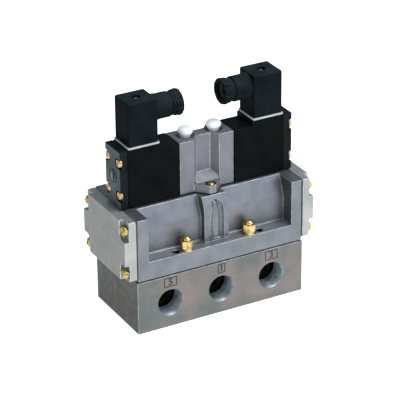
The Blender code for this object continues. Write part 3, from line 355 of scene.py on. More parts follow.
def turned(name, profile, origin=(0, 0, 0), along=UP, steps=48, ring=False):
    """A solid of revolution from (radius, height) points. ring closes the profile round a hole."""
    along = Vector(along)
    side = Vector(UP) if abs(along.z) < 0.5 else along.orthogonal().normalized()
    other = along.cross(side)
    bm = bmesh.new()
    rows = []
    for radius, height in profile:
        centre = Vector(origin) + along * height
        if radius == 0:
            rows.append([bm.verts.new(centre)])
            continue
        row = []
        for step in range(steps):
            angle = 2 * math.pi * step / steps
            row.append(bm.verts.new(centre + radius * (math.cos(angle) * side + math.sin(angle) * other)))
        rows.append(row)
    pairs = list(zip(rows, rows[1:]))
    if ring:
        pairs.append((rows[-1], rows[0]))
    for first, second in pairs:
        for step in range(steps):
            following = (step + 1) % steps
            quad = [first[step % len(first)], first[following % len(first)]]
            quad += [second[following % len(second)], second[step % len(second)]]
            face = list(dict.fromkeys(quad))
            if len(face) > 2:
                bm.faces.new(face)
    return new_object(name, bm)


def rod(name, radius, axis, low, high, centre, steps=48):
    """A round rod along X or Z. centre holds its place in the other two axes."""
    low, high = sorted((low, high))
    origin, along = ((low, *centre), (1, 0, 0)) if axis == "X" else ((*centre, low), UP)
    profile = [(0, high - low), (radius, high - low), (radius, 0), (0, 0)]
    return turned(name, profile, origin, along, steps)


def arc(centre, radius, start, end, steps):
    """Points on an arc, from one angle in degrees to another."""
    angles = [math.radians(start + (end - start) * i / steps) for i in range(steps + 1)]
    return [(centre[0] + radius * math.cos(a), centre[1] + radius * math.sin(a)) for a in angles]


def dome(radius, low, top, steps, fullness=1.0, flatness=1.0):
    """The profile of a domed top, from its middle down to its rim."""
    angles = [math.pi / 2 * i / steps for i in range(1, steps + 1)]
    rise = top - low
    curve = [(radius * math.sin(a) ** fullness, low + rise * math.cos(a) ** flatness) for a in angles]
    return [(0, top)] + curve


def rounded_rectangle(low, high, radius, steps=6):
    """The outline of a rectangle between two corners, with rounded corners."""
    (x0, y0), (x1, y1) = low, high
    quarters = (
        ((x1 - radius, y1 - radius), 0),
        ((x0 + radius, y1 - radius), 90),
        ((x0 + radius, y0 + radius), 180),
        ((x1 - radius, y0 + radius), 270),
    )
    return [p for centre, start in quarters for p in arc(centre, radius, start, start + 90, steps)]


def combine(target, others, operation="DIFFERENCE"):
    """Applies a Boolean with each of the others to target, and removes them."""
    for other in others:
        modifier = target.modifiers.new(other.name, "BOOLEAN")
        modifier.operation = operation
        modifier.solver = "EXACT"
        modifier.object = other
    bpy.context.view_layer.update()
    graph = bpy.context.evaluated_depsgraph_get()
    mesh = bpy.data.meshes.new_from_object(target.evaluated_get(graph))
    target.modifiers.clear()
    old = target.data
    target.data = mesh
    bpy.data.meshes.remove(old)
    mesh.name = target.name
    for other in others:
        data = other.data
        bpy.data.objects.remove(other, do_unlink=True)
        bpy.data.meshes.remove(data)
    return target


def soften(obj, width, material=-1):
    """Rounds an object's sharp edges, and gives them the material of that slot if there is one; that
    material's lighter tone paints a highlight along the edges.
    """
    bevel = obj.modifiers.new("edges", "BEVEL")
    bevel.material = material
    bevel.width = width * METRES
    bevel.segments = 3
    bevel.limit_method = "ANGLE"
    bevel.angle_limit = math.radians(BEVEL_ANGLE)
    bevel.use_clamp_overlap = False


def tidy(obj):
    """Welds what the Booleans left and makes each flat side one face."""
    bm = bmesh.new()
    bm.from_mesh(obj.data)
    bmesh.ops.remove_doubles(bm, verts=bm.verts, dist=0.003)
    bmesh.ops.dissolve_degenerate(bm, edges=bm.edges, dist=0.003)
    bmesh.ops.dissolve_limit(bm, angle_limit=math.radians(0.5), verts=bm.verts, edges=bm.edges)
    bm.to_mesh(obj.data)
    bm.free()


def facing(along):
    """The turn that takes Z to a direction."""
    return Vector(along).to_track_quat("Z", "Y").to_matrix().to_4x4()


def mesh_of(curve, place):
    """The mesh of a curve or a text, moved by the matrix place."""
    guide = linked(curve.name, curve)
    bpy.context.view_layer.update()
    mesh = bpy.data.meshes.new_from_object(guide.evaluated_get(bpy.context.evaluated_depsgraph_get()))
    mesh.transform(place)
    bpy.data.objects.remove(guide, do_unlink=True)
    return mesh


def to_metres(obj):
    """Takes an object's mesh from millimetres to metres."""
    obj.data.transform(Matrix.Scale(METRES, 4))


def piece(obj, *settings, **options):
    """Finishes an object that is modelled in millimetres."""
    to_metres(obj)
    finish(obj, *settings, **options)


def finish(obj, finishes, slot, *nodes, body=ROOT):
    """Gives an object its materials, shading and body, and hides the CAD nodes it stands for. slot is not
    used.
    """
    obj.data.materials.clear()
    for name in finishes.split():
        obj.data.materials.append(MATERIALS[name])
    obj.data.shade_smooth()
    obj.data.set_sharp_from_angle(angle=math.radians(SHARP_ANGLE))
    normals = obj.modifiers.new("normals", "WEIGHTED_NORMAL")
    normals.keep_sharp = True
    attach(obj, body)
    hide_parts(*nodes)


def sides():
    """The names and signs of the two sides along X."""
    return (("left", -1), ("right", 1))


def corners():
    """The four pairs of signs."""
    return [(sx, sy) for sx in (-1, 1) for sy in (-1, 1)]


def solenoid_screw(sy, sz):
    """The Y and Z of one of a solenoid's four screws."""
    return PILOT_Y + sy * SOLENOID_SCREW_Y, COIL_Z + sz * SOLENOID_SCREW_Z


def solenoid_screw_holes(start, end):
    """Cutters for those four screws, from one X to another."""
    centres = [solenoid_screw(sy, sz) for sy, sz in corners()]
    return [rod("hole", SOLENOID_HOLE_RADIUS, "X", start, end, centre, 16) for centre in centres]


# -------- sub-base


def port_profile():
    """Mouth, threaded bore and drilled way of a port, as (radius, height) with height 0 at the face."""
    profile = [(0, 1), (PORT_MOUTH_RADIUS, 1), (PORT_MOUTH_RADIUS, 0), (PORT_RADIUS + 0.15, -1.3)]
    root = PORT_RADIUS + THREAD_DEPTH
    for turn in range(THREAD_TURNS):
        top = -1.5 - turn * THREAD_PITCH
        profile += [(PORT_RADIUS, top), (root, top - 0.42 * THREAD_PITCH)]
        profile += [(root, top - 0.52 * THREAD_PITCH), (PORT_RADIUS, top - 0.94 * THREAD_PITCH)]
    profile += [(PORT_RADIUS, -PORT_DEPTH), (9, -PORT_DEPTH - 1.5)]
    profile += [(9, -SUB_HALF_Y - 2), (0, -SUB_HALF_Y - 6)]
    return profile


def mark(text, x, outward):
    """Cutters for a numeral in a frame on the front or rear face, with outward -1 or 1."""
    near, far = outward * (SUB_HALF_Y - MARK_DEPTH), outward * (SUB_HALF_Y + 1)
    half_x = 3.9 if text == "1" else 6.6
    z, half_z, line = MARK_Z, 4.7, 0.9
    ring = box("frame", (x - half_x, near, z - half_z), (x + half_x, far, z + half_z))
    inner_low = (x - half_x + line, near - outward, z - half_z + line)
    inner_high = (x + half_x - line, far + outward, z + half_z - line)
    combine(ring, [box("inside", inner_low, inner_high)])
    numeral = four(x, near, far) if text == "4" else digit(text, x, outward)
    return [numeral, ring]


def four(x, near, far):
    """A cutter for a 4 on the rear face, where left and right change places."""
    outside = [(1.5, -3.1), (1.5, -1.4), (2.3, -1.4), (2.3, -0.5), (1.5, -0.5), (1.5, 3.1), (0.6, 3.1)]
    outside += [(-2.3, -0.6), (-2.3, -1.4), (0.5, -1.4), (0.5, -3.1)]
    hole = [(0.5, -0.5), (0.5, 1.7), (-1.2, -0.5)]
    numeral = prism("four", [(x - u, MARK_Z + v) for u, v in outside], "Y", near, far)
    hole = prism("hole", [(x - u, MARK_Z + v) for u, v in hole], "Y", near - 1, far + 1)
    return combine(numeral, [hole])


def digit(text, x, outward):
    """A cutter for a numeral on the front or rear face."""
    curve = bpy.data.curves.new("digit", "FONT")
    curve.body = text
    curve.size = MARK_SIZE
    curve.extrude = MARK_DEPTH
    curve.resolution_u = 3
    curve.offset = 0.24
    curve.align_x = "CENTER"
    curve.align_y = "CENTER"
    upright = Euler((math.pi / 2, 0, 0 if outward < 0 else math.pi)).to_matrix().to_4x4()
    mesh = mesh_of(curve, Matrix.Translation((x, outward * SUB_HALF_Y, MARK_Z)) @ upright)
    bm = bmesh.new()
    bm.from_mesh(mesh)
    bmesh.ops.remove_doubles(bm, verts=bm.verts, dist=0.002)
    bpy.data.meshes.remove(mesh)
    return new_object("digit", bm)


def make_sub_base():
    low, high = (-SUB_HALF_X, -SUB_HALF_Y, 0), (SUB_HALF_X, SUB_HALF_Y, SUB_TOP)
    base = box("sub_base_block", low, high, BASE_BEVEL)
    cutters = []
    for index, label in zip(PORTS, "54123"):
        x, outward = index * PORT_PITCH, 1 if index % 2 else -1
        mouth = (x, outward * SUB_HALF_Y, PORT_Z)
        cutters.append(turned("port", port_profile(), mouth, (0, outward, 0), 56))
        cutters.append(rod("channel", CHANNEL_RADIUS, "Z", PORT_Z, SUB_TOP + 1, (x, 0), 32))
        cutters += mark(label, x, outward)
    mount = [(0, 14), (3.4, 13), (3.4, 0.9), (4.4, -0.1), (4.4, -1), (0, -1)]
    for sx, sy in corners():
        bolt_at = (sx * BOLT_X, sy * BOLT_Y)
        cutters.append(rod("bolt", BOLT_RADIUS + GAP, "Z", BOLT_HOLE_LOW, SUB_TOP + 1, bolt_at, 24))
        cutters.append(turned("mount", mount, (sx * MOUNT_X, sy * MOUNT_Y, 0), steps=32))
    combine(base, cutters)
    tidy(base)
    finishes = "sub_base marking base_edge port_rim port_wall deep"
    piece(base, finishes, "sub_base", "sub_base")
    for polygon in base.data.polygons:
        polygon.material_index = finishes.split().index(base_finish(polygon.center / METRES))


def base_finish(at):
    """The material for a face of the sub-base, from its middle in millimetres."""
    depth = SUB_HALF_Y - abs(at.y)
    ports = [index * PORT_PITCH for index in PORTS if (index % 2 == 0) == (at.y < 0)]
    off_axis = min(math.hypot(at.x - x, at.z - PORT_Z) for x in ports)
    if off_axis < PORT_MOUTH_RADIUS and 0.05 < depth < SUB_HALF_Y - CHANNEL_RADIUS:
        # a painted highlight on the rim, painted light on the wall, painted shade deeper in
        return "port_rim" if depth < RIM_DEPTH else "port_wall" if depth < LIT_DEPTH else "deep"
    in_marks = MARK_LOW < at.z < SUB_TOP - 0.8 and abs(at.x) < SUB_HALF_X - 10
    if in_marks and 0.1 < depth < MARK_DEPTH + 0.1:
        return "marking"
    nearest, second, _ = sorted((SUB_HALF_X - abs(at.x), depth, min(at.z, SUB_TOP - at.z)))
    # faces of the rounded edges take the lighter material: a painted highlight
    return "base_edge" if second < BASE_BEVEL - 0.01 and nearest > 0.001 else "sub_base"


# -------- valve body


def pocket_outline(wall, foot, sy, lean=None):
    """The space above the ledge, outside a wall that leans back over the top, in Y and Z.

    The wall bends back all the way up, or only as far as lean degrees and is straight from there.
    """
    wall_y, shoulder_z, shoulder_radius = wall
    top_angle = lean or math.degrees(math.asin((BODY_TOP - shoulder_z) / shoulder_radius))
    shoulder = arc((wall_y - shoulder_radius, shoulder_z), shoulder_radius, 0, top_angle, 14)
    fillet = arc((wall_y + foot, LEDGE_Z + foot), foot, 270, 180, 5)
    out, above = BODY_HALF_Y + 1, BODY_TOP + 1
    last_y, last_z = shoulder[-1]
    if lean:
        last_y -= (above - last_z) * math.tan(math.radians(lean))
    points = [(out, LEDGE_Z)] + fillet + shoulder + [(last_y, above), (out, above)]
    return [(sy * y, z) for y, z in points]


def bore_profile():
    """The spool's bore with its ring grooves and the wider piston bores, from right to left."""
    end = BODY_HALF_X + 1
    profile = [(0, end), (PISTON_RADIUS, end)]
    profile += [(PISTON_RADIUS, PISTON_BORE_X), (BORE_RADIUS, PISTON_BORE_X)]
    for low, high in BORE_GROOVES:
        profile += [(BORE_RADIUS, high), (GROOVE_RADIUS, high), (GROOVE_RADIUS, low), (BORE_RADIUS, low)]
    profile += [(BORE_RADIUS, -PISTON_BORE_X), (PISTON_RADIUS, -PISTON_BORE_X)]
    profile += [(PISTON_RADIUS, -end), (0, -end)]
    return profile


def column_cutter(sy):
    """The arched recess in a post, parallel to its leaning wall, less the flat column in it."""
    half, arch_top, rise, depth = 7.4, 109.6, 12.5, 2.4
    angles = [math.pi * i / 16 for i in range(17)]
    arch = [(half * math.cos(a), arch_top - rise + rise * math.sin(a)) for a in angles]
    outline = [(-half, LEDGE_Z + 0.6), (half, LEDGE_Z + 0.6)] + arch
    recess = prism("recess", outline, "Y", sy * 18, sy * (BODY_HALF_Y + 0.5))
    wall_y, shoulder_z, shoulder_radius = POST_WALL
    inside = pocket_outline((wall_y - depth, shoulder_z, shoulder_radius - depth), POST_FOOT, sy)
    combine(recess, [prism("inside", inside, "X", -10, 10)], "INTERSECT")
    low = LEDGE_Z - 1
    profile = [(0, 108), (2.2, 106.6), (3.9, 103), (5, 98), (5.6, 92), (5.6, low), (0, low)]
    column = turned("column", profile, (0, sy * 26.9, 0), steps=64)
    profile = [(0, 3.2), (6.2, 3.2), (6.6, 2.8), (6.6, 0.4), (6.2, 0), (0, 0)]
    pad = turned("pad", profile, (0, sy * 27, low), steps=64)
    return combine(recess, [column, pad])


def make_valve_body():
    outline = rounded_rectangle((-BODY_HALF_X, -BODY_HALF_Y), (BODY_HALF_X, BODY_HALF_Y), 1.2, 3)
    body = prism("cast_valve_body", outline, "Z", BODY_LOW, BODY_TOP)
    cutters = []
    for sy in (-1, 1):
        post = pocket_outline(POST_WALL, POST_FOOT, sy)
        cutters.append(prism("post", post, "X", -POST_HALF_X, POST_HALF_X))
        barrel = pocket_outline(BARREL_WALL, BARREL_FOOT, sy, BARREL_LEAN)
        for sx in (-1, 1):
            cutters.append(prism("barrel", barrel, "X", sx * POST_HALF_X, sx * POCKET_END_X))
    combine(body, cutters)
    combine(body, [column_cutter(sy) for sy in (-1, 1)])
    combine(body, body_hole_cutters())
    tidy(body)
    soften(body, 0.5, material=1)
    piece(body, "body body_edge deep ledge", "body", "valve_body")
    deep, ledge = 2, 3
    for polygon in body.data.polygons:
        at = polygon.center / METRES
        off_axis = max(abs(abs(at.x) - LEDGE_HOLE_X), abs(abs(at.y) - BOLT_Y))
        # hole walls take the near-black material: painted shade
        if off_axis < LEDGE_HOLE_RADIUS - 0.1 and LEDGE_Z - 8 < at.z < LEDGE_Z - 0.45:
            polygon.material_index = deep
        # the ledge's top takes the lighter material: painted light
        elif abs(at.z - LEDGE_Z) < 0.01:
            polygon.material_index = ledge


def body_hole_cutters():
    """Cutters for the screw holes, the spool's bore and the channels below it."""
    cutters = []
    ledge_hole = [(0, 1), (3.9, 1), (3.9, 0.1), (LEDGE_HOLE_RADIUS, -0.4), (LEDGE_HOLE_RADIUS, -6), (0, -7)]
    for sx, sy in corners():
        x, y = sx * BOLT_X, sy * BOLT_Y
        cutters.append(rod("bolt", BOLT_RADIUS + GAP, "Z", BODY_LOW - 1, LEDGE_Z + 1, (x, y), 24))
        cutters.append(turned("ledge_hole", ledge_hole, (sx * LEDGE_HOLE_X, y, LEDGE_Z), steps=24))
        inner, outer = sx * COVER_SCREW_END_X, sx * (BODY_HALF_X + 1)
        for z in COVER_SCREW_Z:
            centre = (sy * COVER_SCREW_Y, z)
            cutters.append(rod("end_screw", COVER_HOLE_RADIUS, "X", inner, outer, centre, 16))
    for sy in (-1, 1):
        centre = (0, PILOT_Y + sy * TAB_SCREW_Y)
        cutters.append(rod("tab_screw", TAB_HOLE_RADIUS, "Z", TAB_SCREW_END_Z, BODY_TOP + 1, centre, 16))
    cutters.append(turned("bore", bore_profile(), (0, 0, BORE_Z), (1, 0, 0)))
    top = BORE_Z - 0.6 * BORE_RADIUS
    for index in PORTS:
        centre = (index * PORT_PITCH, 0)
        cutters.append(rod("channel", CHANNEL_RADIUS, "Z", BODY_LOW - 1, top, centre, 24))
    return cutters


# -------- end covers


def cover_notch_outline(sy, top):
    """The step at a corner of an end cover, down to its flange, in Y and Z."""
    radius, out = 4.5, BODY_HALF_Y + 1
    points = arc((COVER_NOTCH_Y + radius, COVER_BAND_HIGH + radius), radius, 180, 270, 8)
    points += [(out, COVER_BAND_HIGH), (out, BODY_TOP + 1), (COVER_NOTCH_Y, BODY_TOP + 1)]
    if not top:
        points = [(y, COVER_BAND_LOW + COVER_BAND_HIGH - z) for y, z in points]
    return [(sy * y, z) for y, z in points]


def make_end_cover(side, sx):
    plate = rounded_rectangle((-BODY_HALF_Y, COVER_LOW), (BODY_HALF_Y, BODY_TOP), 2.5)
    cover = prism(f"{side}_cover_casting", plate, "X", sx * (COVER_X - 0.2), sx * COVER_FACE_X)
    past = sx * (COVER_FACE_X + 1)
    notches = [cover_notch_outline(sy, top) for sy in (-1, 1) for top in (False, True)]
    combine(cover, [prism("notch", notch, "X", sx * COVER_FLANGE_X, past) for notch in notches])
    inner = sx * (COVER_X - 1)
    holes = [rod("chamber", PISTON_RADIUS, "X", inner, sx * (COVER_X + 4.4), (0, BORE_Z))]
    centres = [(sy * COVER_SCREW_Y, z) for sy in (-1, 1) for z in COVER_SCREW_Z]
    holes += [rod("hole", COVER_HOLE_RADIUS, "X", inner, past, centre, 16) for centre in centres]
    combine(cover, holes)
    tidy(cover)
    soften(cover, 0.6, material=1)
    piece(cover, "cover cover_edge", "cover", f"{side}_end_cover")


# -------- screws


def cross_recess(radius, top, depth):
    """Cutters for a cross recess in a screw's head, narrower at its bottom."""
    arms = []
    for quarter in range(2):
        bm = bmesh.new()
        bmesh.ops.create_cube(bm, size=1.0)
        for vertex in bm.verts:
            reach, width, z = (1, 0.3, top + 0.3) if vertex.co.z > 0 else (0.45, 0.2, top - depth)
            x = math.copysign(reach * radius, vertex.co.x)
            vertex.co = (x, math.copysign(width * radius, vertex.co.y), z)
        bmesh.ops.rotate(bm, verts=bm.verts, matrix=Matrix.Rotation(quarter * math.pi / 2, 3, "Z"))
        arms.append(new_object("recess", bm))
    return arms


def pan_screw(name, radius, height, shank, length, washer):
    """A pan-head screw standing on Z = 0, with a thin lock washer under its head if washer is given."""
    low = washer
    profile = dome(radius, low + 0.35 * (height - low), height, 6, fullness=0.8, flatness=0.9)
    profile += [(radius, low + 0.15), (radius - 0.15, low)]
    if washer:
        neck, edge = radius - 0.35, radius + 0.3
        profile += [(neck, low), (neck, low - 0.12), (edge, low - 0.12), (edge, 0)]
    profile += [(shank, 0), (shank, -length + 0.5 * shank), (0.5 * shank, -length), (0, -length)]
    head = turned(name, profile, steps=40)
    return combine(head, cross_recess(0.55 * radius, height, 0.5 * (height - low)))


def hexagon(name, radius, low, high, chamfer):
    """A hexagon whose corners are chamfered at the top."""
    made = prism(name, arc((0, 0), radius, 0, 300, 5), "Z", low, high)
    out = radius + chamfer
    limit = [(0, high + 1), (radius * 0.80, high + 0.001), (out, high - 2.2 * chamfer)]
    limit += [(out, low - 1), (0, low - 1)]
    return combine(made, [turned("limit", limit)], "INTERSECT")


def hexagon_bolt(name):
    """A hexagon bolt with a plain washer, a spring washer and a domed, cross-recessed top."""
    top, cap, foot = 12.9, 4.3, 9.9
    profile = dome(cap, foot, top, 7)
    profile += [(cap, foot - 0.3), (cap - 1.3, foot - 0.4), (cap - 1.3, 9.0), (5.0, 9.0), (5.0, 2.4)]
    spring_washer = [(5.5, 2.4), (5.6, 2.2), (5.6, 1.4), (5.1, 1.2)]
    plain_washer = [(6.1, 1.2), (6.2, 1.1), (6.2, 0), (BOLT_RADIUS, 0)]
    profile += spring_washer + plain_washer
    profile += [(BOLT_RADIUS, 1.5 - BOLT_LENGTH), (1.5, -BOLT_LENGTH), (0, -BOLT_LENGTH)]
    bolt = turned(name, profile)
    combine(bolt, [hexagon("hexagon", 6.2, 2.35, 9.3, 0.3)], "UNION")
    return combine(bolt, cross_recess(2.2, top, 1.4))


def placed_copy(pattern, name, location, along, material, node, slot="screw"):
    """The pattern's mesh at a place, its Z turned along a direction and its recess at a random angle."""
    made = linked(name, pattern.data)
    spin = Matrix.Rotation(RANDOM.uniform(0, math.pi), 4, "Z")
    made.matrix_world = Matrix.Translation(METRES * Vector(location)) @ facing(along) @ spin
    finish(made, material, slot, node)


def make_screws():
    """Every screw and bolt is a copy of one of five patterns."""
    cover = pan_screw("cover_screw", radius=4.5, height=4.0, shank=2.5, length=16.1, washer=0.9)
    small = pan_screw("solenoid_screw", radius=4.2, height=3.0, shank=1.75, length=64.6, washer=0)
    tab = pan_screw("tab_screw", radius=3.8, height=4.4, shank=2.2, length=22, washer=0)
    plug = pan_screw("plug_screw", radius=3.0, height=2.4, shank=1.6, length=36.8, washer=0)
    bolt = hexagon_bolt("hexagon_bolt")
    patterns = (cover, small, tab, plug, bolt)
    for pattern in patterns:
        to_metres(pattern)
    for row, sy in (("front", -1), ("rear", 1)):
        place = (0, PILOT_Y + sy * TAB_SCREW_Y, TAB_TOP - TAB_WELL_DEPTH + GAP)
        placed_copy(tab, f"tab_screw_{row}", place, UP, "gold", f"pilot_screw_{row}")
        for side, sx in sides():
            out = (sx, 0, 0)
            place = (sx * BOLT_X, sy * BOLT_Y, LEDGE_Z + GAP)
            name = f"hexagon_bolt_{row}_{side}"
            placed_copy(bolt, name, place, UP, "gold", f"body_bolt_{row}_{side}")
            for level, z in zip(("lower", "upper"), COVER_SCREW_Z):
                place = (sx * (COVER_FLANGE_X + GAP), sy * COVER_SCREW_Y, z)
                node = f"{side}_cover_screw_{row}_{level}"
                placed_copy(cover, f"{node}_head", place, out, "dull_gold", node)
            for level, sz in (("lower", -1), ("upper", 1)):
                place = (sx * (SOLENOID_NOTCH_X + GAP), *solenoid_screw(sy, sz))
                node = f"{side}_solenoid_screw_{row}_{level}"
                placed_copy(small, f"{node}_head", place, out, "copper_zinc", node)
    for side, sx in sides():
        place = (sx * PLUG_X, PILOT_Y, PLUG_TOP - PLUG_WELL_DEPTH + GAP)
        node = f"{side}_connector_screw"
        placed_copy(plug, f"{side}_plug_screw", place, UP, "steel", node, slot="steel")
    for pattern in patterns:
        bpy.data.objects.remove(pattern, do_unlink=True)


# -------- pilot block


def pilot_outline():
    """The block from above, with a tapered recess in its front and rear."""
    y = PILOT_HALF_Y
    half = [(PILOT_HALF_X, y), (12.8, y), (7.2, y - PILOT_RECESS)]
    half += [(-px, py) for px, py in reversed(half)]
    points = half + [(-px, -py) for px, py in half]
    return [(px, py + PILOT_Y) for px, py in points]


def tab_outline(sy):
    """The screwed-down tab at the block's foot from above."""
    root_x, reach = 13.4, PILOT_HALF_Y + 11.4
    half = [(root_x, PILOT_HALF_Y - 9.4), (root_x, PILOT_HALF_Y), (4.4, reach - 1.3), (2.4, reach)]
    points = half + [(-x, y) for x, y in reversed(half)]
    return [(x, sy * y + PILOT_Y) for x, y in points]


def ramp_outline(sy):
    """The slope from the recess's floor down to the tab, in Y and Z."""
    floor, high, low = PILOT_HALF_Y - PILOT_RECESS, 129.5, TAB_TOP - 4
    inner, outer = floor - 1.5, PILOT_HALF_Y + 1.2
    points = [(inner, low), (inner, high), (floor, high), (outer, TAB_TOP), (outer, low)]
    return [(sy * y + PILOT_Y, z) for y, z in points]


def make_pilot_block():
    block = prism("pilot_casting", pilot_outline(), "Z", PILOT_LOW, PILOT_TOP)
    depth, radius = -TAB_WELL_DEPTH, TAB_HOLE_RADIUS
    tab_well = [(0, 1), (4.3, 1), (4.3, depth), (radius, depth), (radius, -9), (0, -9)]
    added = []
    cutters = []
    for sy in (-1, 1):
        added.append(prism("tab", tab_outline(sy), "Z", PILOT_LOW, TAB_TOP))
        added.append(prism("ramp", ramp_outline(sy), "X", -11.6, 11.6))
        place = (0, PILOT_Y + sy * TAB_SCREW_Y, TAB_TOP)
        cutters.append(turned("tab_well", tab_well, place, steps=40))
    combine(block, added, "UNION")
    hole, low = BUTTON_STEM_RADIUS + GAP, BUTTON_WELL_Z - PILOT_TOP
    well = [(0, 1), (BUTTON_WELL_RADIUS, 1), (BUTTON_WELL_RADIUS, -0.3)]
    well += [(BUTTON_WELL_LOW_RADIUS, low), (hole, low), (hole, -24), (0, -24)]
    for sx in (-1, 1):
        cutters.append(turned("button_well", well, (sx * BUTTON_X, BUTTON_Y, PILOT_TOP), steps=56))
        outer = sx * (PILOT_HALF_X + 1)
        cutters.append(rod("nose", 6, "X", sx * NOSE_END_X, outer, (PILOT_Y, COIL_Z), 32))
        cutters += solenoid_screw_holes(sx * SOLENOID_SCREW_END_X, outer)
    combine(block, cutters)
    tidy(block)
    soften(block, 0.45, material=1)
    piece(block, "pilot pilot_edge", "pilot", "pilot_block")


# -------- buttons and springs


def make_button(side, sx):
    """A domed cap over a tapered neck, on a stem that reaches down to its spring."""
    stem, low = BUTTON_STEM_RADIUS, BUTTON_STEM_LOW - PILOT_TOP
    profile = dome(BUTTON_RADIUS, 4.4, 8.6, 9, fullness=0.8)
    profile += [(6.8, 3.4), (6.4, 2.6), (5.7, 1.4), (5.2, 0.3), (4.9, -0.7), (4.5, -1.6)]
    profile += [(stem, -1.9), (stem, low + 0.3), (stem - 0.3, low), (0, low)]
    cap = turned(f"{side}_button_cap", profile, (sx * BUTTON_X, BUTTON_Y, PILOT_TOP), steps=56)
    piece(cap, "button", "button", f"{side}_override_button", body=f"{side}_button_body")


def make_spring(owner, radius, wire, length, turns, origin, along):
    """A coil spring with flat end turns. It stands on its fixed end."""
    per_turn, flat = 24, 0.6  # flat is the part of a turn that lies flat at each end
    curve = bpy.data.curves.new("spring", "CURVE")
    curve.dimensions = "3D"
    curve.bevel_depth = wire / 2
    curve.bevel_resolution = 3
    curve.use_fill_caps = True
    spline = curve.splines.new("POLY")
    spline.points.add(turns * per_turn)
    for index, point in enumerate(spline.points):
        turn = index / per_turn
        rise = min(max((turn - flat) / (turns - 2 * flat), 0), 1)
        angle = 2 * math.pi * turn
        z = wire / 2 + (length - wire) * rise
        point.co = (radius * math.cos(angle), radius * math.sin(angle), z, 1)
    mesh = mesh_of(curve, Matrix.Translation(origin) @ facing(along))
    spring = linked(f"{owner}_return_coil", mesh)
    piece(spring, "spring", "spring", f"{owner}_spring")
    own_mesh(spring)


def make_button_spring(side, sx):
    origin = (sx * BUTTON_X, BUTTON_Y, BUTTON_SPRING_LOW)
    length = BUTTON_STEM_LOW - GAP - BUTTON_SPRING_LOW
    make_spring(f"{side}_button", 2.4, 0.7, length, 5, origin, UP)


def make_plunger_spring(side, sx):
    origin = (sx * (PLUNGER_GAP_X[1] - GAP), PILOT_Y, COIL_Z)
    length = PLUNGER_GAP_X[1] - PLUNGER_GAP_X[0] - 2 * GAP
    make_spring(f"{side}_plunger", 3.6, 0.8, length, 4, origin, (-sx, 0, 0))


# -------- solenoids


def make_solenoid_housing(side, sx):
    inner, step, outer = SOLENOID_INNER_X, SOLENOID_STEP_X, SOLENOID_OUTER_X
    points = [(inner, PILOT_LOW), (outer, PILOT_LOW), (outer, SOLENOID_TOP)]
    points += [(step, SOLENOID_TOP), (step, PILOT_TOP), (inner, PILOT_TOP)]
    front, rear = PILOT_Y - SOLENOID_HALF_Y, PILOT_Y + SOLENOID_HALF_Y
    housing = prism(f"{side}_solenoid_shell", [(sx * x, z) for x, z in points], "Y", front, rear)
    past_in, past_out = sx * (inner - 1), sx * (outer + 1)
    axis = (PILOT_Y, COIL_Z)
    cutters = [rod("coil_room", 11.3, "X", sx * 31, past_out, axis)]
    cutters.append(rod("tube_hole", 6.3, "X", past_in, sx * 33, axis, 32))
    combine(housing, cutters + solenoid_screw_holes(past_in, past_out))
    tidy(housing)
    soften(housing, 0.7)
    piece(housing, "black", "black", f"{side}_solenoid_housing")


def make_solenoid_cap(side, sx):
    front, rear = PILOT_Y - SOLENOID_HALF_Y, PILOT_Y + SOLENOID_HALF_Y
    xs = sorted((sx * SOLENOID_COVER_X, sx * SOLENOID_END_X))
    cap = box(f"{side}_solenoid_cap", (xs[0], front, PILOT_LOW), (xs[1], rear, SOLENOID_TOP), 0.8)
    past = sx * (SOLENOID_END_X + 1)
    radius, notches = 5.0, []
    for sy, sz in corners():
        y, z = solenoid_screw(sy, sz)
        edge = PILOT_Y + sy * (SOLENOID_HALF_Y + 1)
        outline = arc((y, z), radius, 90, 270 if sy > 0 else -90, 12)
        outline += [(edge, z - radius), (edge, z + radius)]
        notches.append(prism("notch", outline, "X", sx * SOLENOID_NOTCH_X, past))
    combine(cap, notches)
    combine(cap, solenoid_screw_holes(sx * (SOLENOID_COVER_X - 1), past))
    y, z = PILOT_Y, COIL_Z
    rim = [(0, 0.2), (5.6, 0.2), (5.9, 0.5), (6.4, 0.5), (6.8, 0), (6.8, -1), (0, -1)]
    boss = turned("boss", rim, (sx * SOLENOID_END_X, y, z), (sx, 0, 0))
    lug = rounded_rectangle((y - 1.8, z - 3.8), (y + 1.8, z + 3.8), 1.6)
    combine(cap, [boss, prism("lug", lug, "X", sx * (SOLENOID_END_X - 1), past)], "UNION")
    piece(cap, "cap_black cap_mark", "black", f"{side}_solenoid_cover")
    # the boss and lug faces take the lighter material: a painted highlight
    for polygon in cap.data.polygons:
        if abs(polygon.center.x) > (SOLENOID_END_X + 0.55) * METRES:
            polygon.material_index = 1


# -------- plug connectors


def make_connector_gasket(side, sx):
    x = sx * PLUG_X
    half_x, half_y = PLUG_HALF_X + 0.9, PLUG_HALF_Y + 0.7
    points = rounded_rectangle((x - half_x, PILOT_Y - half_y), (x + half_x, PILOT_Y + half_y), 1.5)
    gasket = prism(f"{side}_plug_gasket", points, "Z", PLUG_GASKET_LOW, PLUG_GASKET_HIGH)
    window_low = (x - 9, PILOT_Y - 9, PLUG_GASKET_LOW - 1)
    window_high = (x + 9, PILOT_Y + 9, PLUG_GASKET_HIGH + 1)
    combine(gasket, [box("window", window_low, window_high)])
    tidy(gasket)
    soften(gasket, 0.4)
    piece(gasket, "plug_gasket", "plug_gasket", f"{side}_connector_gasket")


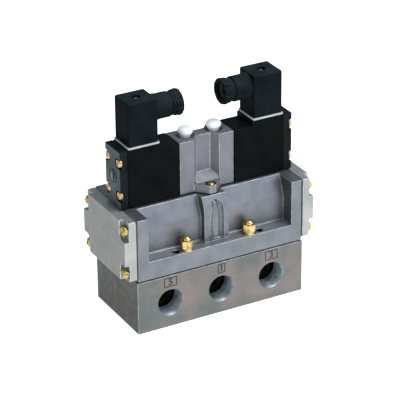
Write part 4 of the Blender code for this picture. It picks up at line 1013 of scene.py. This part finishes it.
def make_connector(side, sx):
    """The plug's shell with its cable neck and thread, hollow and open below."""
    x = sx * PLUG_X
    low = (x - PLUG_HALF_X, PILOT_Y - PLUG_HALF_Y, PLUG_LOW - 4)
    high = (x + PLUG_HALF_X, PILOT_Y + PLUG_HALF_Y, PLUG_TOP)
    shell = box(f"{side}_connector_shell", low, high, 2.0, 5)
    start = PLUG_X - PLUG_HALF_X + 3
    thread, neck, root = THREAD_RADIUS, NECK_RADIUS, NECK_RADIUS + 0.7
    steps = [(0, THREAD_END_X), (thread - 0.4, THREAD_END_X), (thread, THREAD_END_X + 0.4)]
    steps += [(thread, NECK_END_X), (neck - 0.5, NECK_END_X), (neck, NECK_END_X + 0.5)]
    steps += [(neck, 42), (neck + 0.3, 45), (root, 48.3), (root, start), (0, start)]
    profile = [(radius, start - from_middle) for radius, from_middle in steps]
    origin = (sx * start, PILOT_Y, GLAND_Z)
    combine(shell, [turned("neck", profile, origin, (-sx, 0, 0), 64)], "UNION")
    wall = 2.2
    inner_low = (low[0] + wall, low[1] + wall, PLUG_LOW - 5)
    inner_high = (high[0] - wall, high[1] - wall, PLUG_TOP - 7)
    below_low = (low[0] - 1, low[1] - 1, PLUG_LOW - 6)
    cutters = [box("below", below_low, (high[0] + 1, high[1] + 1, PLUG_LOW))]
    cutters.append(box("hollow", inner_low, inner_high))
    cable_ends = (sx * (THREAD_END_X - 1), sx * (start + 0.5))
    cutters.append(rod("cable_way", 8, "X", *cable_ends, (PILOT_Y, GLAND_Z)))
    depth = -PLUG_WELL_DEPTH
    well = [(0, 1), (4.5, 1), (4.5, 0.05), (4.1, -0.4), (4.1, depth), (1.9, depth), (1.9, -10), (0, -10)]
    cutters.append(turned("screw_well", well, (x, PILOT_Y, PLUG_TOP), steps=40))
    combine(shell, cutters)
    tidy(shell)
    piece(shell, "plug_black", "black", f"{side}_connector_housing")


def make_gland_nut(side, sx):
    """A nut with flutes along its grip, a larger rim at its open end and a chamfered cable hole."""
    length = NUT_START_X - NUT_END_X
    rim, grip, hole = NUT_RADIUS, NUT_RADIUS - 0.5, NUT_HOLE_RADIUS
    thread = THREAD_RADIUS + GAP
    profile = [(hole + 0.9, length), (rim - 1.6, length), (rim - 0.5, length - 0.5)]
    profile += [(rim, length - 1.5), (rim, length - 3.4), (grip, length - 3.9), (grip, 3.1)]
    profile += [(grip - 0.4, 2.6), (thread + 0.3, 2.5), (thread + 0.3, 0), (thread, 0)]
    profile += [(thread, length - 2.6), (hole, length - 2.6), (hole, length - 0.8)]
    origin = (sx * NUT_START_X, PILOT_Y, GLAND_Z)
    nut = turned(f"{side}_cable_nut", profile, origin, (-sx, 0, 0), 72, ring=True)
    inner, outer = sx * (NUT_END_X - 1), sx * (NUT_START_X + 1)
    centres = arc((PILOT_Y, GLAND_Z), grip + 1.3, 0, 324, 9)
    combine(nut, [rod("groove", 2.1, "X", inner, outer, centre, 16) for centre in centres])
    piece(nut, "plug_black", "black", f"{side}_gland_nut")


def make_gland_seal(side, sx):
    length, inner, outer = 7, 5.2, NUT_HOLE_RADIUS - 0.4 - GAP
    profile = [(outer - 0.5, length), (outer, length - 0.5), (outer, 0)]
    profile += [(inner, 0), (inner, length - 1.2), (inner + 1, length)]
    origin = (sx * (THREAD_END_X + length + 0.5), PILOT_Y, GLAND_Z)
    seal = turned(f"{side}_seal_ring", profile, origin, (-sx, 0, 0), ring=True)
    piece(seal, "gasket", "gasket", f"{side}_gland_seal")


# -------- carried-over CAD nodes


def finish_cad_nodes():
    """The pieces whose CAD shape is right as it is: flat gaskets and the parts inside."""
    finishes = {
        "base_gasket": "gasket",
        "pilot_gasket": "gasket",
        "spool": "spool",
        "end_gasket": "end_gasket",
        "piston": "piston",
        "coil": "copper",
        "core": "steel",
        "plunger": "steel",
    }
    for name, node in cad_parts.items():
        short = name.split("_", 1)[1] if name.startswith(("left_", "right_")) else name
        if short in finishes:
            node.data.materials.clear()
            node.data.materials.append(MATERIALS[finishes[short]])


# -------- stage


def area_light(name, direction, distance, size, energy, color):
    data = bpy.data.lights.new(name, "AREA")
    data.shape = "RECTANGLE"
    data.size, data.size_y = size
    data.energy = energy
    data.color = color
    light = linked(name, data)
    target = Vector((0, 0, 0.1))
    light.location = target + Vector(direction).normalized() * distance
    light.rotation_euler = (target - light.location).to_track_quat("-Z", "Y").to_euler()


def make_stage():
    bm = bmesh.new()
    bmesh.ops.create_grid(bm, x_segments=1, y_segments=1, size=6)
    floor = new_object("floor", bm)
    floor.location.z = -0.2 * METRES
    paper, _, shader = principled("floor_paper")
    glow = {"Emission_Color": (1, 1, 1, 1), "Emission_Strength": 0.85}
    fill(shader, Base_Color=(0.8, 0.8, 0.8, 1), Roughness=0.9, **glow)
    floor.data.materials.append(paper)

    # direction, distance and size in metres, energy in watts, colour
    area_light("key", (0.3, -0.4, 0.9), 1.6, (1.1, 0.9), 18, (0.92, 0.97, 1.0))
    area_light("left_fill", (-0.9, -0.35, 0.45), 1.5, (0.9, 0.9), 2.4, (0.98, 0.99, 1.0))
    area_light("front_fill", (0.43, -0.87, 0.34), 1.8, (1.6, 0.5), 8, (0.80, 0.88, 1.0))


def make_world():
    """A soft grey room, lighter at the front than at the back."""
    world = bpy.data.worlds.new("studio")
    bpy.context.scene.world = world
    world.use_nodes = True
    tree = world.node_tree
    direction = add(tree, "ShaderNodeTexCoord").outputs["Generated"]
    depth = add(tree, "ShaderNodeSeparateXYZ", Vector=direction).outputs["Y"]
    front, back = (0.55, 0.57, 0.59), (0.36, 0.46, 0.50)
    shade = ramp(tree, map_range(tree, depth, -0.3, 0.8), [(0.0, front), (1.0, back)])
    fill(tree.nodes["Background"], Color=shade, Strength=0.7)


def make_camera():
    data = bpy.data.cameras.new("camera")
    data.sensor_width, data.lens = 36, CAMERA_LENS
    data.clip_end = 20
    camera = linked("camera", data)
    azimuth, elevation, roll = (math.radians(angle) for angle in CAMERA_ANGLES)
    camera.matrix_world = (
        Matrix.Translation(CAMERA_PLACE)
        @ Matrix.Rotation(azimuth, 4, "Z")
        @ Matrix.Rotation(math.pi / 2 - elevation, 4, "X")
        @ Matrix.Rotation(roll, 4, "Z")
    )
    bpy.context.scene.camera = camera


def main():
    make_camera()
    make_stage()
    make_world()
    make_sub_base()
    make_valve_body()
    make_pilot_block()
    make_screws()
    for side, sx in sides():
        make_end_cover(side, sx)
        make_button(side, sx)
        make_button_spring(side, sx)
        make_plunger_spring(side, sx)
        make_solenoid_housing(side, sx)
        make_solenoid_cap(side, sx)
        make_connector_gasket(side, sx)
        make_connector(side, sx)
        make_gland_nut(side, sx)
        make_gland_seal(side, sx)
    finish_cad_nodes()
    bpy.context.scene.view_settings.view_transform = "Standard"


main()
